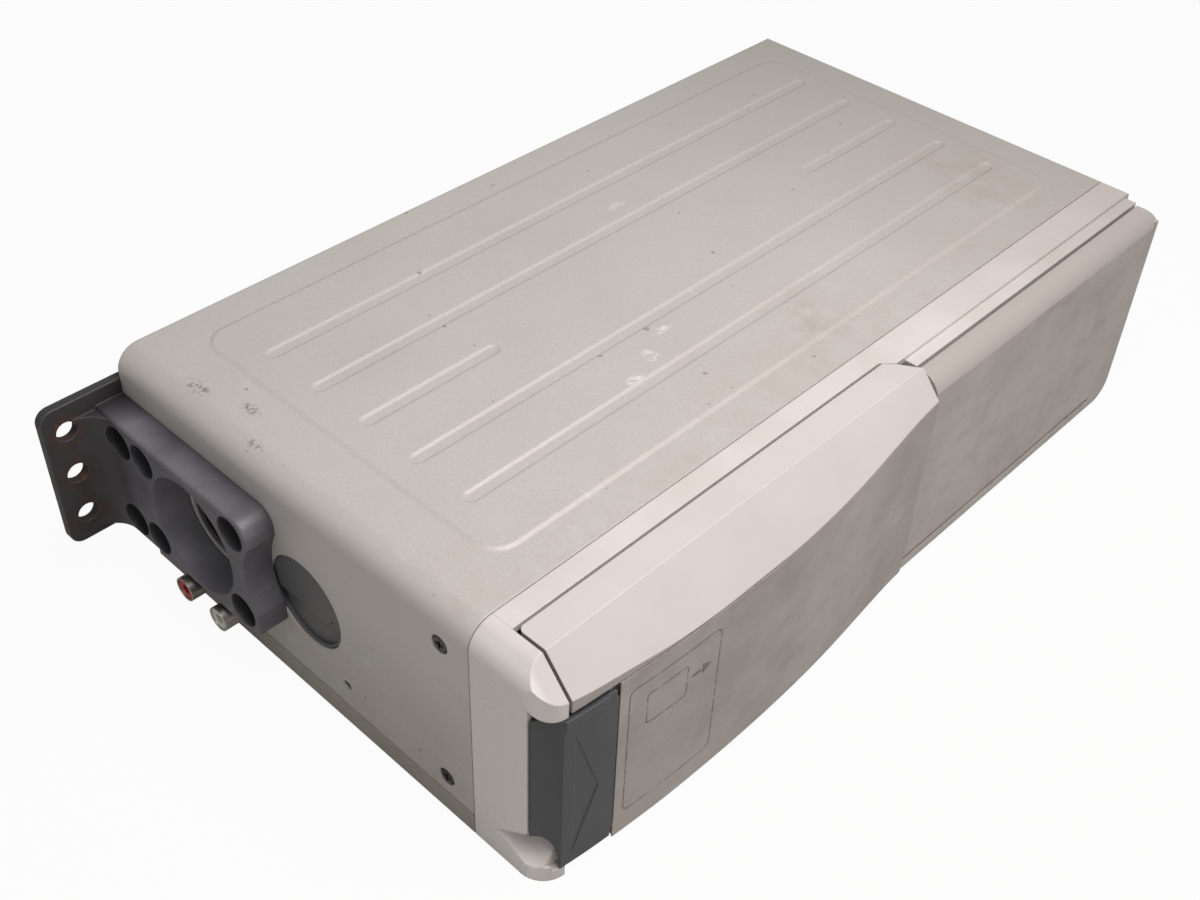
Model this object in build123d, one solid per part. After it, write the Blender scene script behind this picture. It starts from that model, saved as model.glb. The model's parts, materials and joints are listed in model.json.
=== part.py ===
"""A ten-disc car changer with a sliding front door, as separate pieces.

The pieces are drawn in millimetres from the casing's front left bottom corner, with X along the
front, Y towards the rear and Z up. save() then moves each one so that the origin is the middle
of the casing's base.
"""

import os
from math import cos, pi, radians, sin, tan

from build123d import *

# Driving dimensions of the casing
LENGTH = 310.5
DEPTH = 181.0
HEIGHT = 85.0
SHEET = 1.0
SIDE_BEND = 8.0
EDGE_FOLD = 1.5
SEAM_Y = 25.6
PAN_RISE = 8.2

# Raised field pressed into the lid, and its grooves
FIELD_RISE = 0.5
FIELD_X = (21.0, 297.0)
FIELD_Y = (38.0, 169.0)
FIELD_CORNER = 9.0
GROOVE_WIDTH = 5.2
GROOVE_FLOOR = 3.0
FIELD_SLOPE = 1.4
GROOVE_X = (30.5, 290.0)
GROOVE_ROWS = (60.0, 81.7, 125.2, 147.3)
SPLIT_ROW = 103.7
SPLIT_X = ((30.5, 84.0), (235.0, 290.0))

# Front moulding
BAND_FRONT = 18.2
BAND_FRONT_RIGHT = 14.4
JOG_X = 162.0
WALL = 2.5
BROW_SLOPE = 1.18
BROW_CREASE = 7.5
BROW_LEFT = 9.3
BROW_BASE = 69.2
PANEL_LEFT = 170.8
PANEL_FRONT = 1.0
STEP_HEIGHT = 83.5
LEDGE_FRONT = 10.2
# how far the door bulges forward of the casing, along X
BULGE = (
    (6.5, 1.6), (14, 2.6), (28, 3.8), (40, 4.8), (60, 5.7), (78, 6.0), (100, 5.7), (120, 4.7), (140, 2.9),
    (158, 1.1), (171, 0.2))

# Left corner of the moulding: cheek over the catch, side strip, and lip and finger scoop under it
CORNER_RIGHT = 8.3
CHEEK_ARC = ((0, 8.0), (2.4, 0.9), (CORNER_RIGHT, -1.9))
CHEEK_BACK = 12.0
STRIP_FRONT = 4.9
LIP_TOP = 6.0
SCOOP_BACK = (16.2, 11.4)
SCOOP_TOP = 20.6
SCOOP_FRONT = 0.8
SCOOP_RISE = 1.0

# Door, its catch and their travel
DOOR_LEFT = 25.4
DOOR_RIGHT = 170.3
DOOR_BOTTOM = 1.8
DOOR_SKIN = 2.0
DOOR_BACK = 0.7
CATCH_PIN_X = 22.7
CATCH_PIN_Y = -1.5
CATCH_BARREL = 2.1
CATCH_RIDGE = (6.7, -2.0)
CATCH_Z = (4.8, 67.9)
CATCH_SWEEP = 3.3
PIN_Z = (5.3, 67.4)
EAR_Z = ((5.1, 8.0), (64.5, 67.6))
EAR_RADIUS = 1.25
SPRING_ROOM = (31.0, 36.0)
PIN_RADIUS = 0.7
RUNNING_GAP = 0.06
SHOE_X = (46.0, 144.0)
SHOE_STEM = (4.3, 5.5)
SHOE_PEG = (-0.8, DOOR_BACK)
RAIL_X = (40.0, 292.0)

# Discs, trays and their magazine
DISC_RADIUS = 60.0
DISC_HOLE = 7.5
DISC_THICK = 1.2
TRAY_COUNT = 10
TRAY_PITCH = 5.0
TRAY_THICK = 1.6
LOWEST_TRAY = 16.0
PLAY_TRAY = 5
DISC_X = 83.0
DISC_Y = 93.0
TRAY_X = (20.0, 150.0)
TRAY_Y = (30.0, 156.0)
MAGAZINE_X = (14.0, 152.0)
MAGAZINE_Y = (13.0, 161.0)
MAGAZINE_Z = (6.5, 68.0)
TRAY_TRAVEL = 145.0

# Play mechanism
SPINDLE_X = DISC_X + TRAY_TRAVEL
DECK_Z = 28.4
DECK_THICK = 1.2
POST_RADIUS = 1.5
POSTS = ((160.0, 165.0), (299.0, 165.0), (299.3, 29.0))
SCREW_X = 230.0
SCREW_Y = 163.0
SCREW_RADIUS = 3.0
CLAMP_PIVOT_X = 298.7
CLAMP_PIVOT_Z = 46.0
GEAR_MODULE = 0.7
SCREW_TEETH = 24
PINION_TEETH = 12
PINION_TURN = 30.0

# Mounting bracket on the left side
BRACKET_THICK = 10.0
BRACKET_Y = (107.0, 181.0)
BRACKET_Z = (24.5, 69.5)
BRACKET_WAIST = 3.5
FLANGE_THICK = 3.0
FLANGE_X = (-27.5, 4.0)
FLANGE_Z = (22.5, 75.0)
FLANGE_HOLE = 3.4
FLANGE_HOLE_X = -20.0
FLANGE_PITCH = 16.5
FLANGE_MIDDLE = 49.0
WINDOW_Y = 136.5
WINDOW_Z = 46.0
WINDOW_OUTER = 20.0
WINDOW_INNER = 15.8
SOCKET_HOLE = 14.5
COUNTERBORE = 5.75
BRACKET_HOLES = ((114.3, 62.6), (158.5, 61.5), (170.3, 61.5), (114.3, 31.2), (157.6, 30.4), (169.6, 30.4))
FITTED_SCREWS = (BRACKET_HOLES[0], BRACKET_HOLES[5])

# Chips on the circuit board, as their place and size
CHIPS = ((50, 90, 18), (85, 90, 14), (120, 95, 20), (60, 130, 12), (95, 140, 16), (125, 140, 10))

# Side fittings
DIAL_Y = 96.0
DIAL_Z = 41.0
DIAL_RADIUS = 15.5
SIDE_SCREWS = ((36.5, 71.0), (36.5, 15.5))
JACK_Y = (128.0, 145.5)
JACK_Z = 17.6
JACK_REACH = 11.5


def block(x, y, z):
    """A box between two limits on each axis."""
    size = (x[1] - x[0], y[1] - y[0], z[1] - z[0])
    return Pos((x[0] + x[1]) / 2, (y[0] + y[1]) / 2, (z[0] + z[1]) / 2) * Box(*size)


def along_x(sketch, x):
    """A sketch in Y and Z, drawn out between two X limits."""
    return Pos(x[0], 0, 0) * extrude(Plane.YZ * sketch, amount=x[1] - x[0])


def along_y(sketch, y):
    """A sketch in X and Z, drawn out between two Y limits."""
    return Pos(0, y[1], 0) * extrude(Plane.XZ * sketch, amount=y[1] - y[0])


def along_z(sketch, z):
    """A sketch in X and Y, drawn out between two Z limits."""
    return Pos(0, 0, z[0]) * extrude(sketch, amount=z[1] - z[0])


def round_x(y, z, radius, x):
    """A round bar along X."""
    return along_x(Pos(y, z) * Circle(radius), x)


def round_y(x, z, radius, y):
    """A round bar along Y."""
    return along_y(Pos(x, z) * Circle(radius), y)


def round_z(x, y, radius, z):
    """A round bar along Z."""
    return along_z(Pos(x, y) * Circle(radius), z)


def outline(*points):
    """A closed face through straight runs."""
    return make_face(Polyline(*points, close=True))


def save(name, *pieces):
    """Set the pieces about the middle of the base and write them as one node."""
    placed = []
    for piece in pieces:
        for solid in piece.solids():
            placed.append(Pos(-LENGTH / 2, -DEPTH / 2, 0) * solid)
    whole = placed[0] if len(placed) == 1 else Compound(children=placed)
    export_step(whole, f"parts/{name}.step")


def mirrored(shape):
    """The same shape on the casing's other side."""
    return mirror(shape, about=Plane.YZ.offset(LENGTH / 2))


# ---- Casing ----


def casing_outline(inset, foot):
    """The casing seen from the front: a soft bend at the left, a tight fold at the right."""
    left, right, top = inset, LENGTH - inset, HEIGHT - inset
    bend = SIDE_BEND - inset
    fold = max(EDGE_FOLD - inset, 0.4)
    c = 1 - cos(radians(45))
    lines = Polyline((left + bend, top), (right - fold, top))
    lines += ThreePointArc((right - fold, top), (right - fold * c, top - fold * c), (right, top - fold))
    lines += Polyline((right, top - fold), (right, foot), (left, foot), (left, top - bend))
    lines += ThreePointArc((left, top - bend), (left + bend * c, top - bend * c), (left + bend, top))
    return make_face(lines)


def side_openings():
    """Everything that is cut through the left side of the lid."""
    cuts = []
    for y, z in SIDE_SCREWS:
        cuts.append(round_x(y, z, 3.0, (-1, 3)))
    cuts.append(round_x(80.0, 18.0, 1.6, (-1, 3)))
    cuts.append(round_x(DIAL_Y, DIAL_Z, DIAL_RADIUS + 0.3, (-1, 3)))
    return cuts


def make_top_cover():
    outer = along_y(casing_outline(0, PAN_RISE + 0.3), (SEAM_Y, DEPTH))
    inner = along_y(casing_outline(SHEET, PAN_RISE - 5), (SEAM_Y - 1, DEPTH + 1))
    cover = outer - inner
    cover += block((SIDE_BEND, LENGTH - 3), (DEPTH - SHEET, DEPTH), (77.0, HEIGHT - 0.5))
    middle = ((FIELD_X[0] + FIELD_X[1]) / 2, (FIELD_Y[0] + FIELD_Y[1]) / 2)
    size = (FIELD_X[1] - FIELD_X[0], FIELD_Y[1] - FIELD_Y[0])
    foot = Pos(*middle, HEIGHT) * RectangleRounded(*size, FIELD_CORNER)
    top = Pos(*middle, HEIGHT + FIELD_RISE) * RectangleRounded(
        size[0] - 2 * FIELD_SLOPE, size[1] - 2 * FIELD_SLOPE, FIELD_CORNER - FIELD_SLOPE)
    cover += loft([foot, top])
    runs = [(GROOVE_X, row) for row in GROOVE_ROWS] + [(span, SPLIT_ROW) for span in SPLIT_X]
    for span, row in runs:
        centre = ((span[0] + span[1]) / 2, row)
        length = span[1] - span[0]
        mouth = Pos(*centre, HEIGHT + FIELD_RISE) * SlotOverall(length, GROOVE_WIDTH)
        floor = Pos(*centre, HEIGHT) * SlotOverall(length - GROOVE_WIDTH + GROOVE_FLOOR, GROOVE_FLOOR)
        cover -= loft([floor, mouth])
    for cut in side_openings():
        cover -= cut
        cover -= mirrored(cut)
    cover -= round_x(WINDOW_Y, WINDOW_Z, SOCKET_HOLE, (-1, 3))
    for y in JACK_Y:
        cover -= round_x(y, JACK_Z, 5.7, (-1, 3))
    for y, z in FITTED_SCREWS:
        cover -= round_x(y, z, 2.2, (-1, 3))
    return cover


def make_base_pan():
    """Folded tray: floor, low side walls with an inner joggle behind the lid, and the rear wall."""
    pan = block((0, LENGTH), (SEAM_Y, DEPTH), (0, 1.2))
    for side in (lambda s: s, mirrored):
        pan += side(block((0, SHEET), (SEAM_Y, DEPTH), (0, PAN_RISE)))
        pan += side(block((0.2, 2.2), (SEAM_Y + 2, DEPTH - 2), (PAN_RISE - 1, PAN_RISE)))
        pan += side(block((1.2, 2.2), (SEAM_Y + 2, 110), (PAN_RISE - 1, 18)))
        pan += side(block((1.2, 2.2), (SEAM_Y + 2, 44), (PAN_RISE - 1, 76)))
    pan += block((1.2, LENGTH - 1.2), (DEPTH - SHEET, DEPTH), (0.5, 76.7))
    for y in (60, 103, 146):
        pan += Pos(LENGTH / 2, y, 1.0) * extrude(SlotOverall(240, 8), amount=1.2, taper=20)
        pan -= Pos(LENGTH / 2, y, -0.2) * extrude(SlotOverall(237, 5), amount=1.2)
    for x in (40, 155, 270):
        pan -= round_y(x, 68, 1.6, (DEPTH - 2, DEPTH + 1))
    for y, z in SIDE_SCREWS:
        for side in (lambda s: s, mirrored):
            pan -= side(round_x(y, z, 1.7, (1, 3)))
    return pan


# ---- Front moulding ----


def bulge_at(x):
    """The forward bulge of the door at one place, between the points that give it."""
    for (x0, b0), (x1, b1) in zip(BULGE, BULGE[1:]):
        if x0 <= x <= x1:
            return b0 + (b1 - b0) * (x - x0) / (x1 - x0)
    return BULGE[-1][1]


def bulge_plan(inset, back, start=0):
    """Plan of the space behind the bulged front, down to a straight back."""
    points = [(x, inset - b) for x, b in BULGE[start:]]
    left, right = points[0][0], points[-1][0]
    lines = Spline(*points)
    lines += Polyline(points[-1], (right, back), (left, back), points[0])
    return make_face(lines)


def brow_edge(x):
    """Height at which the sloping brow meets the bulged front."""
    return HEIGHT - BROW_SLOPE * (BROW_CREASE + bulge_at(x))


def under_brow(drop, left, bottom):
    """Front view of the space under the brow: level at the left, then rising along the slope."""
    rise = [(x, brow_edge(x) - drop) for x in (80, 100, 120, 140, 158, 171)]
    lines = Polyline((left, bottom), (left, rise[0][1]), rise[0])
    lines += Spline(*rise)
    lines += Polyline(rise[-1], (171, bottom), (left, bottom))
    return make_face(lines)


def slope_cutter(x, offset=0):
    """Everything in front of the sloping brow, moved outward by the offset."""
    run = 20.0
    crease = BROW_CREASE
    top = HEIGHT + offset
    foot = (crease - run, top - BROW_SLOPE * run)
    return along_x(outline((crease, top), foot, (-40, 20), (-40, 120), (crease, 120)), x)


def make_brow_trim():
    """The pale wedge above the door: flat on top, then sloping down to the bulged front."""
    plan = bulge_plan(0, 6.0) & (Pos(80, 0) * Rectangle(180.6, 60))
    top = outline((BROW_LEFT, 17.3), (BROW_LEFT, -2), (170.3, -2), (170.3, 7.0), (168.5, 9.3), (165.4, 14.4),
                  (162.4, 17.3))
    brow = along_z(plan, (BROW_BASE, HEIGHT))
    brow += along_z(top, (80.0, HEIGHT)) - slope_cutter((0, 180))
    brow -= slope_cutter((0, 180))
    brow -= along_y(under_brow(0.0, -5, 40), (-20, 30))
    brow -= block((-5, BROW_LEFT), (-20, 30), (40, 90))
    brow -= block((18, 150), (9.4, 14.5), (60, HEIGHT - 2.4))
    rear_corner = brow.edges().filter_by(Axis.Z).sort_by_distance((BROW_LEFT, 17.3, 83))[0]
    return fillet(rear_corner, 2.0)


def corner_plan(back):
    """Plan of the moulding's rounded left front corner, closed along a straight back."""
    start, middle, end = CHEEK_ARC
    lines = ThreePointArc(start, middle, end)
    lines += Polyline(end, (end[0], back), (0, back), start)
    return make_face(lines)


def scoop_room():
    """Everything above the scoop's floor, a plane through the skin's lower edge that rises inward."""
    front = Vector(0, STRIP_FRONT, LIP_TOP)
    back = Vector(0, *SCOOP_BACK)
    inward = Vector(1, 0, SCOOP_RISE)
    up = inward.cross(back - front).normalized()
    face = Plane(origin=front, x_dir=(back - front).normalized(), z_dir=up)
    return extrude(face * Rectangle(80, 80), 60)


def bezel_moulding():
    """Whole front moulding: top band, left cheek, bottom lip and right wall."""
    seam = SEAM_Y - 0.3
    top = HEIGHT + 1
    shell = along_y(casing_outline(0, 0), (-8, seam)) - along_y(casing_outline(WALL, WALL), (-9, seam + 1))
    # the band steps back at the right half, behind the fixed panel
    shell -= block((JOG_X + 4, LENGTH + 1), (-10, BAND_FRONT_RIGHT), (-1, top))
    jog = outline(
        (JOG_X - 0.1, BAND_FRONT), (JOG_X + 4, BAND_FRONT_RIGHT), (JOG_X + 4, -20), (-5, -20), (-5, -10),
        (BROW_LEFT - 1, -10), (BROW_LEFT - 1, BAND_FRONT))
    shell -= along_z(jog, (60, top))
    shell -= block((-1, BROW_LEFT), (-9, 8.0), (-1, top))
    # left cheek above the catch, round in plan and cut by the brow's slope
    cheek = along_z(corner_plan(CHEEK_BACK), (67, HEIGHT)) & along_y(casing_outline(0, 0), (-8, seam))
    cheek -= slope_cutter((-1, 20))
    under = Spline((-8, 68.2), (-2, 68.2), (1.0, 69.4), (STRIP_FRONT, 72.4))
    under += Polyline((STRIP_FRONT, 72.4), (STRIP_FRONT, 60), (-8, 60), (-8, 68.2))
    cheek -= along_x(make_face(under), (-1, 20))
    shell += cheek
    # the side goes on forward between cheek and lip, up to the catch's wrap
    shell += block((0, WALL), (STRIP_FRONT, 9), (2, 72.4))
    # open front, between the catch's wrap and the bottom lip
    shell -= block((BROW_LEFT - 0.5, JOG_X + 10), (-9, STRIP_FRONT), (4.2, 68.6))
    shell -= block((JOG_X - 0.1, LENGTH + 1), (-9, BAND_FRONT_RIGHT), (-1, top))
    shell -= block((CORNER_RIGHT, 172), (-9, 1.4), (-1, 7))
    # lip in front of the catch's foot
    foot_room = block((4.4, 9), (-9, SCOOP_FRONT), (4.2, 25))
    shell += along_z(corner_plan(CHEEK_BACK), (0, LIP_TOP)) - foot_room
    # finger scoop: the skin is cut away above a floor that rises inward from the lip's edge
    room = scoop_room()
    edge = (STRIP_FRONT - 0.2, SCOOP_TOP)
    below = outline(SCOOP_BACK, edge, (-3, SCOOP_TOP), (-3, 2), (SCOOP_BACK[0], 2))
    shell -= along_x(below, (-1, 3.6)) & room
    above = outline((18.6, SCOOP_BACK[1]), SCOOP_BACK, edge, (-3, SCOOP_TOP), (-3, 25), (18.6, 25))
    floor = along_z(corner_plan(18.5), (2, 24)) - room - foot_room
    floor -= block((-1, 9), (-9, SCOOP_FRONT), (LIP_TOP, 25))
    shell += floor - along_x(above, (-1, 9))
    # band ledge over the fixed panel, stepping down
    ledge_z = (STEP_HEIGHT - 2.3, STEP_HEIGHT)
    return shell + block((JOG_X + 9, LENGTH - 2.2), (LEDGE_FRONT, BAND_FRONT_RIGHT + 1), ledge_z)


def make_front_bezel():
    """Top band, bottom lip and right wall, from the corner piece to the right."""
    return bezel_moulding() - block((-1, CORNER_RIGHT), (-9, 30), (-1, HEIGHT + 1))


def make_bezel_corner():
    """Left corner of the moulding: side strip, cheek over the catch and lip under it."""
    return bezel_moulding() & block((-1, CORNER_RIGHT), (-9, 30), (-1, HEIGHT + 1))


def make_bay_bulkhead():
    """Wall behind the door with the magazine's bay and the eject key's hole."""
    seam = SEAM_Y - 0.3
    view = RectangleRounded(LENGTH - 2 * WALL, HEIGHT - 2 * WALL, 1.0)
    wall = along_y(Pos(LENGTH / 2, HEIGHT / 2) * view, (seam - 2.5, seam))
    wall -= along_y(outline((0, HEIGHT), (0, 74.5), (10.5, HEIGHT)), (0, 40))
    wall += block((155.0, 169.5), (12.0, seam), (WALL, 78.0))
    wall -= block((MAGAZINE_X[0] - 1.2, 153.2), (4, 40), (5.2, 69.4))
    wall -= block((158.0, 166.5), (11, 22), (30.0, 44.0))
    return wall - block((160.0, 164.5), (11, 30), (34.0, 40.0))


def make_front_panel():
    """Fixed right half of the front, rolled back at the top into a narrow strip."""
    front = PANEL_FRONT
    wall = 2.2
    back = BAND_FRONT_RIGHT - 0.2
    right = LENGTH - 0.3
    crease = (front, 77.6)
    roll = ThreePointArc(crease, (front + 3.0, 81.6), (9.1, 83.3))
    inside = ThreePointArc((9.1, 83.3 - wall), (front + 4.4, 80.0), (front + wall, 77.0))
    lines = Polyline((front, 5.8), crease) + roll
    lines += Polyline((9.1, 83.3), (9.1, 83.3 - wall)) + inside
    lines += Polyline((front + wall, 77.0), (front + wall, 5.8), (front, 5.8))
    panel = along_x(make_face(lines), (PANEL_LEFT, right))
    # sill under the slit that the door's shoes run in, and the closed right end
    panel += block((PANEL_LEFT, right), (front, front + wall), (0.3, 3.8))
    panel += block((296, right), (front, front + wall), (0.3, 8.0))
    panel += block((right - 2.2, right), (front, back), (0.3, 79.5))
    view = Pos((PANEL_LEFT - 20 + right) / 2, 42) * Rectangle(right - PANEL_LEFT + 20, 83.4)
    corners = view.vertices().group_by(Axis.X)[-1].sort_by(Axis.Y)
    view = fillet(corners[0], 8.0)
    view = fillet(view.vertices().group_by(Axis.X)[-1].sort_by(Axis.Y)[-1], 5.0)
    return panel & along_y(view, (-2, back))


def make_door_rail():
    """Channel along the bottom that guides the door's two shoes."""
    rail = block(RAIL_X, (4.4, 9.6), (WALL, 3.0))
    rail += block(RAIL_X, (4.4, 5.4), (WALL, 4.0))
    rail += block(RAIL_X, (8.6, 9.6), (WALL, 5.0))
    return rail


# ---- Door and catch ----


def make_sliding_door():
    plan = bulge_plan(0, DOOR_BACK)
    door = along_z(plan, (DOOR_BOTTOM, 80))
    door &= along_y(under_brow(0.5, DOOR_LEFT, DOOR_BOTTOM), (-20, 30))
    door &= block((DOOR_LEFT, DOOR_RIGHT), (-20, 30), (0, 80))
    pocket = bulge_plan(DOOR_SKIN, DOOR_BACK + 1, start=2)
    pocket = along_z(pocket, (8.0, 66.0)) & block((36, 128), (-20, 30), (0, 80))
    for x in (58, 80, 102):
        pocket -= block((x - 0.8, x + 0.8), (-20, 30), (0, 80))
    door -= pocket
    # room for the catch's corner to turn in, and the two ears that hold its pin
    door -= round_z(CATCH_PIN_X, CATCH_PIN_Y, CATCH_SWEEP, (0, 80))
    for z in EAR_Z:
        ear = round_z(CATCH_PIN_X, CATCH_PIN_Y, EAR_RADIUS, z)
        ear += block((CATCH_PIN_X, DOOR_LEFT + 3), (CATCH_PIN_Y, DOOR_BACK), z)
        door += ear
        door -= round_z(CATCH_PIN_X, CATCH_PIN_Y, PIN_RADIUS, (z[0] - 1, z[1] + 1))
    for x in SHOE_X:
        door -= block((x + 2, x + 6), SHOE_PEG, SHOE_STEM)
    return door


def make_door_shoes():
    """Slides that reach back from the door into the rail and hook down into it."""
    shoes = []
    for x in SHOE_X:
        shoe = block((x, x + 8), (DOOR_BACK, 8.3), SHOE_STEM)
        shoe += block((x, x + 8), (5.7, 8.3), (3.3, SHOE_STEM[1]))
        shoe += block((x + 2, x + 6), SHOE_PEG, SHOE_STEM)
        shoes.append(shoe)
    return shoes


def make_door_catch():
    """Door catch: barrel at the right, a pointed grip, and a hollow wrap round the casing's corner."""
    low, high = CATCH_Z
    x, y = CATCH_PIN_X, CATCH_PIN_Y
    wrap = (0.7, 4.2)
    hug = (3.4, 4.2)
    corner = (x + 2.1, y - 2.2)
    front_end = (x + 1.5, y - 2.6)
    back_end = (x, y + 1.3)
    lines = Spline(CATCH_RIDGE, (12, -2.75), (18, -3.5), front_end)
    lines += Polyline(front_end, corner, (corner[0], y), back_end)
    lines += Spline(back_end, (12, -0.3), (8.6, 1.4), (6.0, 3.2), hug)
    lines += Line(hug, wrap) + ThreePointArc(wrap, (4.2, 1.6), CATCH_RIDGE)
    catch = along_z(make_face(lines), (low, high))
    catch += round_z(x, y, CATCH_BARREL, (low, high))
    # raised grip band at the top
    band = Spline((6.9, -2.6), (12, -3.3), (18, -4.05), (20.8, -4.3))
    band += Polyline((20.8, -4.3), (20.8, -3), (6.9, -1.5), (6.9, -2.6))
    catch += along_z(make_face(band), (64.2, high))
    # large shallow arrow in the front face
    arrow = Spline((9, -2.15), (12, -2.5), (18, -3.25), (20, -3.5))
    arrow += Polyline((20, -3.5), (20, -5), (9, -5), (9, -2.15))
    arrow = along_z(make_face(arrow), CATCH_Z)
    arrow &= along_y(outline((10.6, 59.5), (18.6, 33.0), (10.3, 9.8)), (-6, 2))
    catch -= arrow
    # hollow foot of the wrap, and the finger tongue that holds the closed door
    foot = Polyline((-1.4, 7.5), (-1.4, 4), (8, 4), (8, 20), (4.6, 19.6))
    foot += Spline((4.6, 19.6), (2.6, 18.6), (0.8, 16.2), (-0.6, 12.2), (-1.4, 7.5))
    catch -= along_x(make_face(foot), (-1, 9.5))
    catch += block((5.6, 8.6), (0.4, 3.8), (30, 38))
    catch -= round_z(x, y, PIN_RADIUS + RUNNING_GAP, (0, high + 1))
    for room in ((0, EAR_Z[0][1] + 0.3), (EAR_Z[1][0] - 0.3, high + 1)):
        catch -= round_z(x, y, EAR_RADIUS + 0.25, room)
        sweep = outline((x, y), (x + 1.5, y - 4), (x + 4, y - 4), (x + 4, y + 4), (x - 0.8, y + 4))
        catch -= along_z(sweep, room)
    return catch - block((x - 1.5, x + 3), (y - 1.35, 3), SPRING_ROOM)


def make_catch_spring():
    """Small torsion coil round the pin."""
    turns = 3
    wire = 0.4
    path = Pos(CATCH_PIN_X, CATCH_PIN_Y, SPRING_ROOM[0] + 0.6) * Helix(1.0, turns, PIN_RADIUS + wire * 0.65)
    section = Plane(origin=path @ 0, z_dir=path % 0) * Rectangle(wire, wire)
    return sweep(section, path=path)


# ---- Magazine, trays and discs ----


def tray_height(number):
    """Middle of one tray's thickness, counted from the lowest."""
    return LOWEST_TRAY + TRAY_PITCH * (number - 1)


def make_tray(number):
    """One disc tray: a seat for the disc, a finger notch and a slot for spindle and pickup."""
    z = tray_height(number)
    x = (TRAY_X[0] + TRAY_X[1]) / 2
    y = (TRAY_Y[0] + TRAY_Y[1]) / 2
    plate = Pos(x, y) * Rectangle(TRAY_X[1] - TRAY_X[0], TRAY_Y[1] - TRAY_Y[0])
    plate = chamfer(plate.vertices(), 3)
    tray = along_z(plate, (z - TRAY_THICK / 2, z + TRAY_THICK / 2))
    tray -= round_z(DISC_X, DISC_Y, DISC_RADIUS + 0.6, (z - 0.2, z + 2))
    tray -= round_z(DISC_X, DISC_Y, 20, (z - 2, z + 2))
    tray -= block((DISC_X, TRAY_X[1] + 1), (DISC_Y - 20, DISC_Y + 20), (z - 2, z + 2))
    tray -= block((TRAY_X[1] - 4, TRAY_X[1] + 1), (TRAY_Y[0] + 6, TRAY_Y[0] + 12), (z - 2, z + 2))
    return tray


def make_disc(number):
    """A disc lying in its tray's seat."""
    z = tray_height(number) - 0.2
    disc = round_z(DISC_X, DISC_Y, DISC_RADIUS, (z, z + DISC_THICK))
    return disc - round_z(DISC_X, DISC_Y, DISC_HOLE, (z - 1, z + 3))


def make_magazine_shell():
    """Box open at the right, with combs that hold the trays' edges and a grip at the front."""
    (x0, x1), (y0, y1), (z0, z1) = MAGAZINE_X, MAGAZINE_Y, MAGAZINE_Z
    shell = along_z(Pos((x0 + x1) / 2, (y0 + y1) / 2) * RectangleRounded(x1 - x0, y1 - y0, 3), (z0, z1))
    shell -= block((x0 + 3, x1 + 1), (TRAY_Y[0] - 2.5, TRAY_Y[1] + 2.5), (z0 + 2, z1 - 2))
    tooth = TRAY_PITCH - TRAY_THICK - 0.6
    for number in range(TRAY_COUNT + 1):
        z = tray_height(number) + TRAY_PITCH / 2
        low = max(z - tooth / 2, z0 + 1.9)
        for y in ((TRAY_Y[0] - 2.6, TRAY_Y[0] + 1.6), (TRAY_Y[1] - 1.6, TRAY_Y[1] + 2.6)):
            shell += block((x0 + 2.9, x1 - 1), y, (low, z + tooth / 2))
    # grip recess and ribs on the front, chamfered lead-in at the rear
    shell -= along_z(Pos(84, y0) * SlotOverall(70, 12), (26, 50))
    for step in range(6):
        x = 124 + 3.6 * step
        shell += block((x, x + 1.6), (y0 - 0.8, y0 + 1), (18, 58))
    return shell


# ---- Mechanism ----


def gear_face(teeth, backlash=0.12):
    """Involute spur gear outline, 20 degree pressure angle, one tooth's gap on the +X axis."""
    pitch = GEAR_MODULE * teeth / 2
    base = pitch * cos(radians(20))
    tip = pitch + GEAR_MODULE
    root = pitch - 1.2 * GEAR_MODULE
    spread = tan(radians(20)) - radians(20)
    half = pi / (2 * teeth) - backlash / (2 * pitch)
    steps = 4
    flank = [(root, half + spread)]
    for i in range(steps + 1):
        radius = max(base, root) + (tip - max(base, root)) * i / steps
        roll = ((radius / base) ** 2 - 1) ** 0.5
        flank.append((radius, half + spread - (roll - _angle(roll))))
    points = []
    for tooth in range(teeth):
        middle = 2 * pi * (tooth + 0.5) / teeth
        for radius, angle in flank:
            points.append((radius * cos(middle - angle), radius * sin(middle - angle)))
        for radius, angle in reversed(flank):
            points.append((radius * cos(middle + angle), radius * sin(middle + angle)))
    return outline(*points)


def _angle(roll):
    """Angle whose tangent is the roll, in radians."""
    return pi / 2 - _angle(1 / roll) if roll > 1 else _small_angle(roll)


def _small_angle(t):
    total = 0.0
    for k in range(12):
        total += (-1) ** k * t ** (2 * k + 1) / (2 * k + 1)
    return total


def make_mechanism_chassis():
    """Inner steel frame that carries the bay and the play mechanism."""
    frame = block((8, 303), (28, 177), (2.7, 3.9))
    frame -= Pos(83, 93, 0) * extrude(RectangleRounded(100, 90, 10), amount=10)
    frame -= Pos(228, 90, 0) * extrude(RectangleRounded(110, 70, 10), amount=10)
    frame += block((8, 9.2), (28, 108), (2.7, 77.9))
    frame += block((8, 18), (60, 108), (76.7, 77.9))
    frame += block((8, 304), (175.8, 177), (2.7, 77.9))
    frame += block((8, 150), (166, 177), (76.7, 77.9))
    frame += block((302.8, 304), (28, 177), (2.7, 60))
    frame -= round_x(DIAL_Y, DIAL_Z, 9, (7, 10))
    for y in (24, 46):
        frame -= round_x(150, y, 7, (300, 306))
    return frame


def make_bay_runners():
    """Two low runners on which the magazine slides."""
    runners = []
    for x in (24, 134):
        runners.append(block((x, x + 8), (30, 158), (3.9, 6.2)))
    return runners


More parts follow.
